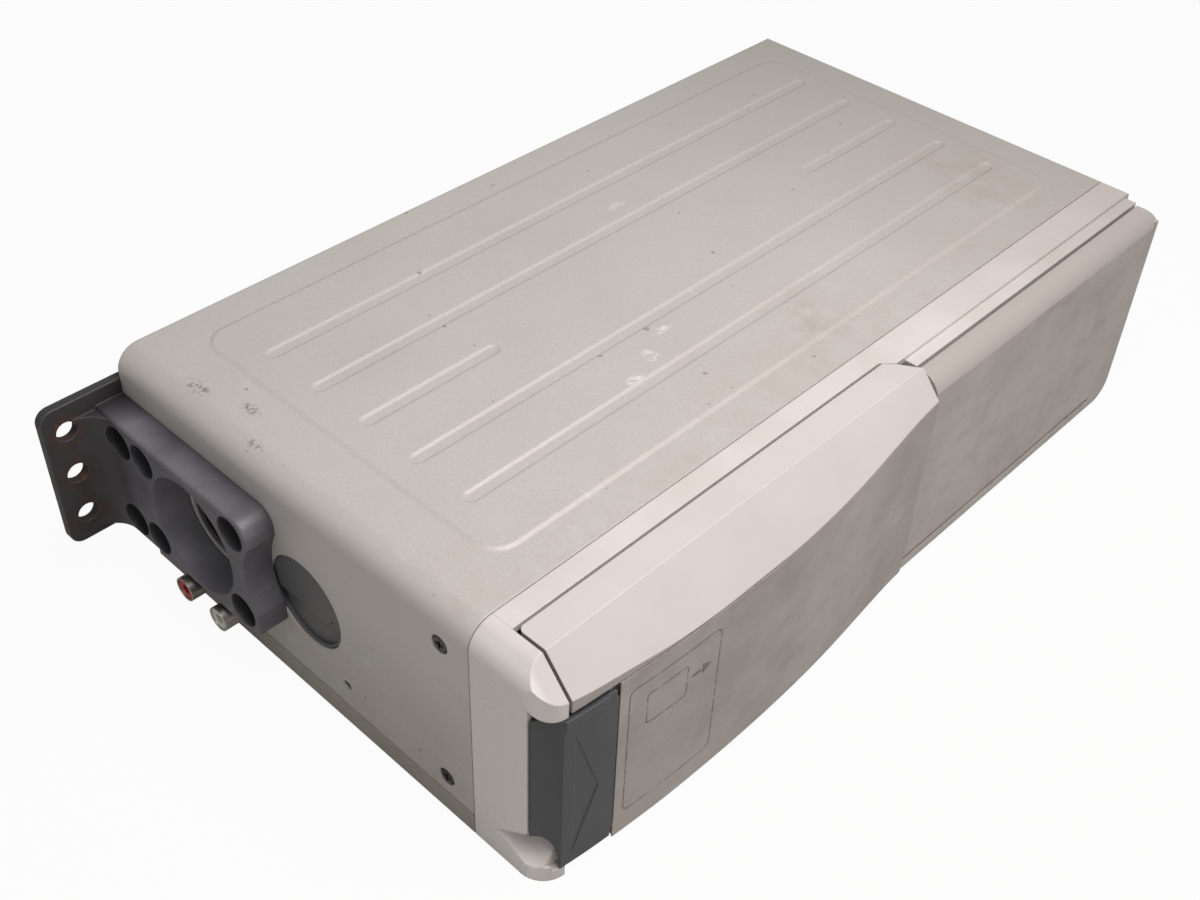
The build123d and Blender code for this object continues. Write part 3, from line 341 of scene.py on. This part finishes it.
class Finish(Patterns):
    """One material under construction."""

    def color(self, socket):
        self.link(socket, self.shader.inputs["Base Color"])

    def roughness(self, socket):
        self.link(socket, self.shader.inputs["Roughness"])

    def surface(self, height, strength, depth_mm, edge_mm):
        """Bump from a height, on normals that are rounded over the edges."""
        bump = self.node("ShaderNodeBump")
        bump.inputs["Strength"].default_value = strength
        bump.inputs["Distance"].default_value = depth_mm * MM
        self.link(height, bump.inputs["Height"])
        self.link(self.rounded(edge_mm), bump.inputs["Normal"])
        self.link(bump.outputs["Normal"], self.shader.inputs["Normal"])


print("a finish can set", [name for name in vars(Finish) if name[0] != "_"])

# %% [markdown]
# ## Painted lid
# The lid is steel with a satin paint that holds fine metal flakes. Its colour is a warm grey. Fine
# noise gives the flakes and a pale and dark speckle, and a broad one the cloudiness of old paint.

# %% Lid paint
LID_GREY = (0.485, 0.450, 0.425)
LID_PALE = (0.545, 0.512, 0.488)
CLOUD_GREY = (0.43, 0.39, 0.35)
SPECKLE_PALE = (0.62, 0.59, 0.56)
SPECKLE_DARK = (0.34, 0.31, 0.28)

lid = Finish("lid_paint", roughness=0.42, metallic=0.15, specular=0.35)
flakes = lid.noise(0.35, detail=1.0)
clouds = lid.noise(45.0, detail=4.0)
speckle = lid.noise(0.9, detail=3.0, rough=0.8)
tone = lid.mix(lid.between(flakes, 0.30, 0.70), LID_GREY, LID_PALE)
tone = lid.mix(lid.between(clouds, 0.40, 0.75, 0.0, 0.35), tone, CLOUD_GREY)
tone = lid.mix(lid.between(speckle, 0.58, 0.66, 0.0, 0.30), tone, SPECKLE_PALE)
tone = lid.mix(lid.between(speckle, 0.42, 0.34, 0.0, 0.25), tone, SPECKLE_DARK)
lid.roughness(lid.between(clouds, 0.3, 0.7, 0.38, 0.50))
lid.surface(flakes, 0.12, 0.05, edge_mm=0.7)
print("lid grey", LID_GREY, "with flakes")

# %% [markdown]
# ## Marks on the lid
# Some marks of the real lid have a place: brown stains towards the right, small dark scuffs near
# the left rim and pale dabs in the middle. A soft spot sets the place, and noise breaks up its
# outline.

# %% Stains, scuffs and dabs
STAIN_BROWN = (0.33, 0.25, 0.17)
SCUFF_DARK = (0.10, 0.085, 0.07)
DAB_WHITE = (0.80, 0.80, 0.78)
STAINS = (
    (at(165, 50, LID_Z), 5.0), (at(275, 52, LID_Z), 7.0),
    (at(286, 66, LID_Z), 5.0), (at(272, 74, LID_Z), 3.0),
)
SCUFFS = (
    (at(8, 150, LID_Z), 1.5), (at(13, 131, LID_Z), 1.0),
    (at(0, 28, 55), 1.2), (at(5, 118, LID_Z - 1), 0.8),
)
DAB_Z = LID_Z + 0.5
DABS = (
    (at(102, 64, DAB_Z), (1, 2.2, 1), 0.7), (at(114, 68, DAB_Z), (1.6, 1, 1), 0.6),
    (at(126, 75, DAB_Z), (1, 2.6, 1), 0.7), (at(168, 134, DAB_Z), (1, 2, 1), 0.35),
)

blotch = lid.noise(9.0, detail=5.0, rough=0.7)
for place, radius in STAINS:
    stain = lid.times(lid.spot(place, radius, 14.0), lid.between(blotch, 0.38, 0.66), 0.28)
    tone = lid.mix(stain, tone, STAIN_BROWN)
scratchy = lid.noise(1.6, detail=4.0, rough=0.7)
for place, radius in SCUFFS:
    where = lid.spot(place, radius, 1.2, (1, 0.45, 1))
    tone = lid.mix(lid.times(where, lid.between(scratchy, 0.50, 0.56), 0.6), tone, SCUFF_DARK)
ragged = lid.noise(4.0, detail=4.0, rough=0.7)
for place, squeeze, depth in DABS:
    where = lid.spot(place, 1.6, 3.0, squeeze)
    tone = lid.mix(lid.times(where, lid.between(ragged, 0.44, 0.52), depth), tone, DAB_WHITE)
print(len(STAINS), "stains,", len(SCUFFS), "scuffs,", len(DABS), "dabs")

# %% [markdown]
# ## Wear on the lid
# Other marks lie anywhere: short fine scratches, pale and dark, mostly down the side, and freckles
# of dirt. Stretched noise makes strokes, and only its highest peaks are kept, so that they are
# few.

# %% Scratches and freckles
STROKE_PALE = (0.72, 0.69, 0.65)
FRECKLE_DARK = (0.20, 0.17, 0.15)
SCRATCHED_BELOW = 66.0
CALM_ABOVE = 84.0

lower = lid.between(lid.axis["z"], SCRATCHED_BELOW * MM, CALM_ABOVE * MM, 1.0, 0.25)
strokes = lid.noise(2.2, detail=1.0, stretch=(1, 0.16, 1))
tone = lid.mix(lid.times(lid.between(strokes, 0.735, 0.76), lower, 0.5), tone, STROKE_PALE)
drops = lid.noise(3.1, detail=2.0, stretch=(1, 1, 0.22))
tone = lid.mix(lid.times(lid.between(drops, 0.745, 0.765), lower, 0.6), tone, SCUFF_DARK)
freckle = lid.noise(3.4, detail=0.0)
tone = lid.mix(lid.between(freckle, 0.845, 0.865, 0.0, 0.6), tone, FRECKLE_DARK)
print("scratches grow fainter above", SCRATCHED_BELOW, "mm")

# %% [markdown]
# ## Age and painted light on the lid
# Old paint is not even: a brown haze lies along the front edge. The right end is painted darker, a
# painted shade, and the upper part of the left side is painted paler, a painted light on a side in
# shade. Each is a slow run along one axis.

# %% Haze, painted shade and painted light
HAZE_BROWN = (0.36, 0.29, 0.22)
LID_END_SHADE = (0.36, 0.33, 0.30)
LID_SIDE_PAINTED_LIGHT = (0.62, 0.58, 0.55)

near_front = lid.between(lid.axis["y"], at(0, 58, 0).y, at(0, 34, 0).y)
haze = lid.times(near_front, lid.between(blotch, 0.40, 0.70), 0.22)
tone = lid.mix(haze, tone, HAZE_BROWN)
# painted shade: the lid is made darker towards its right end
far = lid.between(lid.axis["x"], at(190, 0, 0).x, at(305, 0, 0).x, 0.0, 0.55)
tone = lid.mix(far, tone, LID_END_SHADE)
# painted light: the upper part of the left side is made paler
on_side = lid.between(lid.axis["x"], at(0.6, 0, 0).x, at(5.0, 0, 0).x, 1.0, 0.0)
high_up = lid.between(lid.axis["z"], 30 * MM, 62 * MM, 0.0, 0.85)
tone = lid.mix(lid.times(on_side, high_up), tone, LID_SIDE_PAINTED_LIGHT)
lid.color(tone)
print("lid_paint has", len(lid.tree.nodes), "nodes")

# %% [markdown]
# ## Moulded plastic
# The band, the brow and the front are moulded and lightly painted in close tones. Each gets a fine
# moulding grain, faint soiling that gathers in broad patches, and edges a little paler, partly
# from wear and partly as a painted highlight.
# All the other plastics are made by the same helper.

# %% Moulded finishes
WEAR_MM = 0.4
GRAIN_DEPTH = 0.04
MOULD_EDGE_MM = 0.5


def moulded(name, base, soiled, roughness, grain_mm=0.5, soil=0.35, edge=None,
            edge_amount=0.4, bump=0.10):
    """A moulded plastic with grain, soiling and pale edges, partly rubbed and partly a painted
    highlight. Its colour is kept as tint.
    """
    made = Finish(name, roughness=roughness)
    grain = made.noise(grain_mm, detail=2.0)
    patches = made.noise(28.0, detail=5.0, rough=0.6)
    tint = made.mix(made.between(patches, 0.42, 0.72, 0.0, soil), base, soiled)
    speck = made.noise(1.1, detail=3.0, rough=0.7)
    tint = made.mix(made.between(speck, 0.66, 0.74, 0.0, soil), tint, soiled)
    if edge:
        # paler edges: partly rubbed wear, partly a painted highlight
        tint = made.mix(made.times(made.edges(WEAR_MM), edge_amount), tint, edge)
    made.tint = tint
    made.color(tint)
    made.roughness(made.between(patches, 0.3, 0.7, roughness - 0.05, roughness + 0.08))
    made.surface(grain, bump, GRAIN_DEPTH, edge_mm=MOULD_EDGE_MM)
    return made


print("grain depth", GRAIN_DEPTH, "mm")

# %% [markdown]
# ## Band and cheek
# The band along the top of the front is the palest part. Like the lid, it is painted darker to the
# right, a painted shade. The cheek on the left side is painted paler, a painted light on a side in
# shade.

# %% Band
BAND_PALE = (0.60, 0.555, 0.535)
BAND_SOIL = (0.42, 0.37, 0.32)
BAND_EDGE_WEAR_AND_HIGHLIGHT = (0.80, 0.78, 0.75)
BAND_END_SHADE = (0.40, 0.36, 0.34)
CHEEK_PAINTED_LIGHT = (0.76, 0.715, 0.69)

band = moulded("band_plastic", BAND_PALE, BAND_SOIL, 0.27, edge=BAND_EDGE_WEAR_AND_HIGHLIGHT)
# painted shade: the band is made darker towards its right end
far = band.between(band.axis["x"], at(190, 0, 0).x, at(300, 0, 0).x, 0.0, 0.65)
# painted light: the cheek on the left side is made paler
on_side = band.between(band.axis["x"], at(0.6, 0, 0).x, at(4.0, 0, 0).x, 1.0, 0.0)
tint = band.mix(far, band.tint, BAND_END_SHADE)
band.color(band.mix(on_side, tint, CHEEK_PAINTED_LIGHT))
print("band_plastic has", len(band.tree.nodes), "nodes")

# %% [markdown]
# ## Grime on the front
# Hands have left brown smudges and fine scratches along the front, and in places the paint is
# rubbed pale. The door and the fixed panel share this.

# %% Grime
FRONT_GREY = (0.358, 0.317, 0.297)
PANEL_GREY = (0.413, 0.367, 0.344)
FRONT_SOIL = (0.20, 0.165, 0.135)
FRONT_EDGE_WEAR_AND_HIGHLIGHT = (0.50, 0.47, 0.44)
FRONT_RUBBED = (0.43, 0.40, 0.385)
FRONT_ROUGHNESS = 0.38


def front_finish(name, base):
    """The front's plastic, with smudges and fine scratches added to its tint."""
    made = moulded(name, base, FRONT_SOIL, FRONT_ROUGHNESS, edge=FRONT_EDGE_WEAR_AND_HIGHLIGHT)
    smear = made.noise(13.0, detail=6.0, rough=0.75, stretch=(0.7, 1, 1.3))
    tint = made.mix(made.between(smear, 0.52, 0.68, 0.0, 0.40), made.tint, FRONT_SOIL)
    pale = made.noise(20.0, detail=3.0)
    tint = made.mix(made.between(pale, 0.52, 0.70, 0.0, 0.30), tint, FRONT_RUBBED)
    scratch = made.noise(1.2, detail=2.0, stretch=(0.12, 1, 1))
    made.tint = made.mix(made.between(scratch, 0.70, 0.74, 0.0, 0.35), tint, FRONT_SOIL)
    return made


print("front grey", FRONT_GREY, "panel grey", PANEL_GREY)

# %% [markdown]
# ## Brow and fixed panel
# The brow has a pink cast, and its small upright edge is finished like the door below it. Above
# its crease the fixed panel rolls back and turns paler, partly its own paint and partly painted
# light where the roll faces up. Both changes of colour follow the form: one reads the way the face
# looks, the other its height. The brow's edges, the crease most of all, are paler, partly from
# wear and partly as a painted highlight.

# %% Brow and panel
BROW_PINK = (0.555, 0.51, 0.505)
BROW_SOIL = (0.46, 0.40, 0.37)
BROW_EDGE_WEAR_AND_HIGHLIGHT = (0.85, 0.82, 0.80)
CREASE_Z = 77.6 * MM
CREASE_SOFT = 0.5 * MM
ROLL_PAINT_AND_LIGHT = (0.385, 0.35, 0.325)

# the brow's paler edges and crease: partly wear, partly a painted highlight
brow = moulded("brow_plastic", BROW_PINK, BROW_SOIL, 0.42, edge=BROW_EDGE_WEAR_AND_HIGHLIGHT, edge_amount=0.6)
brow.color(brow.mix(brow.facing_up(0.35, 0.20), brow.tint, FRONT_GREY))

front = front_finish("front_plastic", PANEL_GREY)
# above the crease: partly the roll's own paler paint, partly painted light
above = front.between(front.axis["z"], CREASE_Z, CREASE_Z + CREASE_SOFT)
front.color(front.mix(above, front.tint, ROLL_PAINT_AND_LIGHT))
print("the panel turns paler above", round(CREASE_Z / MM, 1), "mm")

# %% [markdown]
# ## How to draw with distances
# The real door carries printed signs. Ours carries only a plain pictogram: a thin rounded frame
# with an arrow for the way the door slides. It is drawn by arithmetic on the coordinates. The
# distance to a rounded box is small along its outline, so a narrow range of that distance is a
# printed line.

# %% Drawing helpers
LINE_HALF = 0.22 * MM
LINE_SOFT = 1.6


def rounded_box(made, middle, half, corner):
    """Signed distance to a rounded rectangle in X and Z."""
    across = made.math("SUBTRACT", made.off("x", middle[0]), half[0] - corner)
    upward = made.math("SUBTRACT", made.off("z", middle[2]), half[1] - corner)
    inside = made.math("MINIMUM", made.math("MAXIMUM", across, upward), 0.0)
    out_x = made.math("POWER", made.math("MAXIMUM", across, 0.0), 2.0)
    out_z = made.math("POWER", made.math("MAXIMUM", upward, 0.0), 2.0)
    outside = made.math("SQRT", made.math("ADD", out_x, out_z))
    return made.math("SUBTRACT", made.math("ADD", inside, outside), corner)


def outlined(made, box):
    """One on the outline of a box, as a printed line."""
    gap = made.math("ABSOLUTE", box)
    return made.between(gap, LINE_HALF, LINE_HALF * LINE_SOFT, 1.0, 0.0)


def arrow(made, tip, length, half_head):
    """One inside an arrow head that points to +X, with its tip at this point."""
    along = made.math("SUBTRACT", tip[0], made.axis["x"])
    slope = made.times(along, half_head / length)
    head = made.math("LESS_THAN", made.off("z", tip[2]), slope)
    return made.times(head, made.math("LESS_THAN", along, length))


print("printed lines are", round(2 * LINE_HALF / MM, 2), "mm wide")

# %% [markdown]
# ## The sign on the door
# The sign stands on the left end of the door. The ink is rubbed: noise takes some of it away.

# %% Door print
PRINT_INK = (0.07, 0.06, 0.055)
INK_COVER = 0.8
SIGN_MIDDLE = at(46.1, 0, 36.3)
SIGN_HALF = (17.2 * MM, 25.6 * MM)
SIGN_CORNER = 2.5 * MM
SMALL_MIDDLE = at(43.0, 0, 50.0)
SMALL_HALF = (7.5 * MM, 6.0 * MM)
SMALL_CORNER = 1.2 * MM
ARROW_TIP = at(60.5, 0, 50.0)
STEM_MIDDLE = at(54.5, 0, 50.0)
STEM_HALF = (2.2 * MM, 0.6 * MM)
STEM_CORNER = 0.1 * MM

door = front_finish("door_plastic", FRONT_GREY)
sign = outlined(door, rounded_box(door, SIGN_MIDDLE, SIGN_HALF, SIGN_CORNER))
small = outlined(door, rounded_box(door, SMALL_MIDDLE, SMALL_HALF, SMALL_CORNER))
head = arrow(door, ARROW_TIP, 4.0 * MM, 2.2 * MM)
stem = door.math("LESS_THAN", rounded_box(door, STEM_MIDDLE, STEM_HALF, STEM_CORNER), 0.0)
ink = door.math("MAXIMUM", door.math("MAXIMUM", sign, small), door.math("MAXIMUM", head, stem))
worn = door.between(door.noise(2.0, detail=4.0, rough=0.7), 0.36, 0.50)
door.color(door.mix(door.times(ink, worn, INK_COVER), door.tint, PRINT_INK))
print("sign", [round(2 * half / MM, 1) for half in SIGN_HALF], "mm")

# %% [markdown]
# ## Dark plastics
# The catch and the dials are a grained dark plastic with a blue cast. Dust makes them paler in
# patches, and the hollows, such as the dial's dividing line, are darkened with painted shade.

# %% Catch and dials
CATCH_DARK = (0.052, 0.053, 0.060)
CATCH_DUSTY = (0.082, 0.081, 0.084)
CATCH_EDGE_WEAR_AND_HIGHLIGHT = (0.16, 0.16, 0.17)
DIAL_DARK = (0.110, 0.109, 0.114)
DIAL_DUSTY = (0.155, 0.15, 0.147)
DIAL_EDGE_WEAR_AND_HIGHLIGHT = (0.14, 0.14, 0.15)
HOLLOW_PAINTED_SHADE = (0.015, 0.015, 0.016)
HOLLOW_REACH = 2.5

# the catch's paler edges: partly wear, partly a painted highlight along its ridge
catch_finish = moulded("catch_plastic", CATCH_DARK, CATCH_DUSTY, 0.48, grain_mm=0.45, soil=0.4,
                       bump=0.3, edge=CATCH_EDGE_WEAR_AND_HIGHLIGHT)
dial_finish = moulded("dial_plastic", DIAL_DARK, DIAL_DUSTY, 0.45, grain_mm=0.6, soil=0.4,
                      bump=0.2, edge=DIAL_EDGE_WEAR_AND_HIGHLIGHT)
for made in (dial_finish, catch_finish):
    # painted shade: the hollows are darkened by the occlusion pattern
    deep = made.between(made.hollows(HOLLOW_REACH), 0.25, 0.75, 0.8, 0.0)
    made.color(made.mix(deep, made.tint, HOLLOW_PAINTED_SHADE))
print("dirt gathers in hollows of", HOLLOW_REACH, "mm")

# %% [markdown]
# ## Bracket
# The bracket is iron with a thin dark coat, dusty and porous. The flange behind it is darker, and
# a painted shadow line along the face, just under its upper edge, stands for a fine groove.

# %% Bracket coat
COAT_DARK = (0.112, 0.107, 0.122)
COAT_DUSTY = (0.175, 0.168, 0.188)
COAT_PORES = (0.20, 0.19, 0.19)
FLANGE_DARK = (0.045, 0.042, 0.045)
GROOVE_SHADOW = (0.03, 0.03, 0.032)
LINE_PLACE = at(-10, 136, 66.6)

coat = Finish("bracket_coat", roughness=0.5, metallic=0.1, specular=0.4)
pores = coat.noise(0.7, detail=3.0, rough=0.65)
dusty = coat.noise(16.0, detail=5.0, rough=0.6)
tone = coat.mix(coat.between(dusty, 0.35, 0.70), COAT_DARK, COAT_DUSTY)
tone = coat.mix(coat.between(pores, 0.62, 0.72, 0.0, 0.35), tone, COAT_PORES)
behind = coat.between(coat.axis["y"], at(0, 166, 0).y, at(0, 179, 0).y)
tone = coat.mix(behind, tone, FLANGE_DARK)
# painted shadow: a thin dark line where a fine groove would throw shade
thin = coat.between(coat.off("z", LINE_PLACE.z), 0.15 * MM, 0.35 * MM, 1.0, 0.0)
long = coat.between(coat.off("y", LINE_PLACE.y), 16 * MM, 17 * MM, 1.0, 0.0)
on_face = coat.between(coat.axis["x"], at(-9.6, 0, 0).x, at(-9.4, 0, 0).x, 1.0, 0.0)
tone = coat.mix(coat.times(thin, long, on_face, 0.6), tone, GROOVE_SHADOW)
print("bracket_coat has", len(coat.tree.nodes), "nodes so far")

# %% [markdown]
# ## Rust
# Rust has come up round the flange's three holes, where the bolts rubbed the coat away. Each hole
# gets a ring of rust whose edge is broken up by noise. The peaks of the same noise turn orange.
# Rust is rough, worn edges are pale and the hollows get painted shade.

# %% Rust and wear
FLANGE_HOLES = [at(-20, 182.5, z) for z in (32.5, 49.0, 65.5)]
RUST_DARK = (0.050, 0.026, 0.018)
RUST_ORANGE = (0.15, 0.065, 0.028)
COAT_EDGE = (0.24, 0.235, 0.24)
COAT_PAINTED_SHADE = (0.018, 0.017, 0.018)

broken = coat.noise(2.6, detail=5.0, rough=0.75)
crumbs = coat.between(broken, 0.34, 0.60)
rings_of_rust = [coat.times(coat.spot(hole, 3.0, 5.5), crumbs) for hole in FLANGE_HOLES]
rusty = rings_of_rust[0]
for ring in rings_of_rust[1:]:
    rusty = coat.math("MAXIMUM", rusty, ring)
tone = coat.mix(rusty, tone, RUST_DARK)
tone = coat.mix(coat.times(rusty, coat.between(broken, 0.55, 0.68)), tone, RUST_ORANGE)
tone = coat.mix(coat.times(coat.edges(0.5), 0.5), tone, COAT_EDGE)
# painted shade: hollows and the corner against the casing are darkened
deep = coat.between(coat.hollows(14.0), 0.15, 0.85, 0.85, 0.0)
coat.color(coat.mix(deep, tone, COAT_PAINTED_SHADE))
coat.roughness(coat.between(rusty, 0.0, 0.6, 0.46, 0.85))
coat.surface(pores, 0.35, 0.08, edge_mm=0.8)
print("rust round", len(FLANGE_HOLES), "holes")

# %% [markdown]
# ## Metals
# Plated sheet has faint drawn lines, turned steel is bright and smooth, and the screws are dull.
# One helper makes all of them. It stretches the noise along one axis where the grain runs one way.

# %% Metals
EVEN = (1, 1, 1)
ALONG_X = (0.08, 1, 1)
ALONG_Z = (1, 1, 0.1)


def metal(name, base, worn, roughness, stretch, grain_mm=0.5):
    """A plated or turned metal with a grain."""
    made = Finish(name, roughness=roughness, metallic=1.0)
    lines = made.noise(grain_mm, detail=3.0, stretch=stretch)
    patches = made.noise(14.0, detail=4.0)
    made.color(made.mix(made.between(patches, 0.35, 0.75), base, worn))
    made.roughness(made.between(lines, 0.3, 0.7, roughness - 0.06, roughness + 0.10))
    made.surface(lines, 0.15, 0.02, edge_mm=0.3)
    return made


inner_steel = metal("inner_steel", (0.62, 0.62, 0.62), (0.52, 0.51, 0.49), 0.34, ALONG_X)
shaft_steel = metal("shaft_steel", (0.75, 0.75, 0.76), (0.66, 0.66, 0.67), 0.18, ALONG_Z)
screw_zinc = metal("screw_zinc", (0.62, 0.55, 0.33), (0.42, 0.36, 0.22), 0.42, EVEN)
screw_dark = metal("screw_dark", (0.14, 0.135, 0.13), (0.07, 0.065, 0.06), 0.45, EVEN)
sleeve_metal = metal("sleeve_metal", (0.60, 0.56, 0.52), (0.40, 0.36, 0.32), 0.32, EVEN, 2.0)
pin_metal = metal("pin_metal", (0.80, 0.62, 0.30), (0.62, 0.46, 0.22), 0.28, EVEN)
print("six metals")

# %% [markdown]
# ## Small mouldings
# The rest are plain mouldings: black, white, red, the board's green lacquer and the pan's dull
# paint. Each takes a line or two, which starts with its name, its clean colour and its soiled
# colour.

# %% Small mouldings
pan_steel = moulded("pan_paint", (0.36, 0.33, 0.285), (0.26, 0.235, 0.20), 0.50, soil=0.5)
black = moulded("black_moulding", (0.018, 0.018, 0.019), (0.07, 0.065, 0.06), 0.42, bump=0.15)
magazine_finish = moulded("magazine_plastic", (0.035, 0.035, 0.038), (0.09, 0.085, 0.08), 0.40,
                          soil=0.3, bump=0.25)
tray_finish = moulded("tray_plastic", (0.10, 0.10, 0.11), (0.15, 0.15, 0.15), 0.38,
                      soil=0.2, bump=0.15)
white_moulding = moulded("white_moulding", (0.72, 0.71, 0.68), (0.60, 0.57, 0.52), 0.38, soil=0.2)
jack_white = moulded("jack_white", (0.70, 0.67, 0.61), (0.45, 0.40, 0.34), 0.30, soil=0.4)
jack_red = moulded("jack_red", (0.42, 0.035, 0.035), (0.22, 0.03, 0.03), 0.30, soil=0.4)
rubber = moulded("rubber_black", (0.025, 0.025, 0.026), (0.06, 0.06, 0.06), 0.75, soil=0.3)
board_green = moulded("board_green", (0.03, 0.16, 0.06), (0.02, 0.10, 0.04), 0.35, soil=0.4)
chip_black = moulded("chip_black", (0.02, 0.02, 0.022), (0.05, 0.05, 0.05), 0.50, soil=0.3)
print("ten small mouldings")

# %% [markdown]
# ## Disc and lens
# A disc is a mirror with a slight unevenness, read here from noise in its colour and roughness.
# The lens is a small clear bead with a blue coating.

# %% Disc and lens
DISC_BRIGHT, DISC_BLUE = (0.80, 0.81, 0.84), (0.74, 0.76, 0.80)
LENS_BRIGHT, LENS_BLUE = (0.70, 0.78, 0.92), (0.62, 0.70, 0.88)
LENS_CLEAR = 0.6

disc_face = Finish("disc_face", roughness=0.10, metallic=1.0)
rings = disc_face.noise(0.6, detail=2.0)
disc_face.color(disc_face.mix(disc_face.between(rings, 0.3, 0.7), DISC_BRIGHT, DISC_BLUE))
disc_face.roughness(disc_face.between(rings, 0.3, 0.7, 0.08, 0.16))

lens = Finish("lens_glass", roughness=0.05)
lens.shader.inputs["Transmission Weight"].default_value = LENS_CLEAR
coating = lens.noise(1.5)
lens.color(lens.mix(lens.between(coating, 0.3, 0.7), LENS_BRIGHT, LENS_BLUE))
print("disc and lens made")

# %% [markdown]
# ## Dress the frame
# The record says which finish each node takes. One table pairs those names with the materials
# above. The door has the panel's finish in the record, but takes its own, which carries the sign.

# %% Assign the finishes
FINISHES = {
    "cover_paint": lid, "pan_steel": pan_steel, "frame_plastic": band, "brow_plastic": brow,
    "panel_plastic": front, "catch_plastic": catch_finish, "dial_plastic": dial_finish,
    "bracket_paint": coat, "screw_steel": screw_zinc, "case_screw_black": screw_dark,
    "jack_black": black, "sleeve_metal": sleeve_metal, "jack_white": jack_white,
    "jack_red": jack_red, "pin_brass": pin_metal, "inner_steel": inner_steel,
    "magazine_plastic": magazine_finish, "tray_plastic": tray_finish, "disc_face": disc_face,
    "white_plastic": white_moulding, "mech_plastic": black, "shaft_steel": shaft_steel,
    "rubber_black": rubber, "board_green": board_green, "chip_black": chip_black,
    "lens_clear": lens,
}
for row in frame["record"]["subparts"]:
    node = frame["nodes"][row["node"]]
    finish = door if row["node"] == "sliding_door" else FINISHES[row["material_slot"]]
    for holder in node.material_slots:
        holder.material = finish.material

# %% [markdown] ## End of the dressing
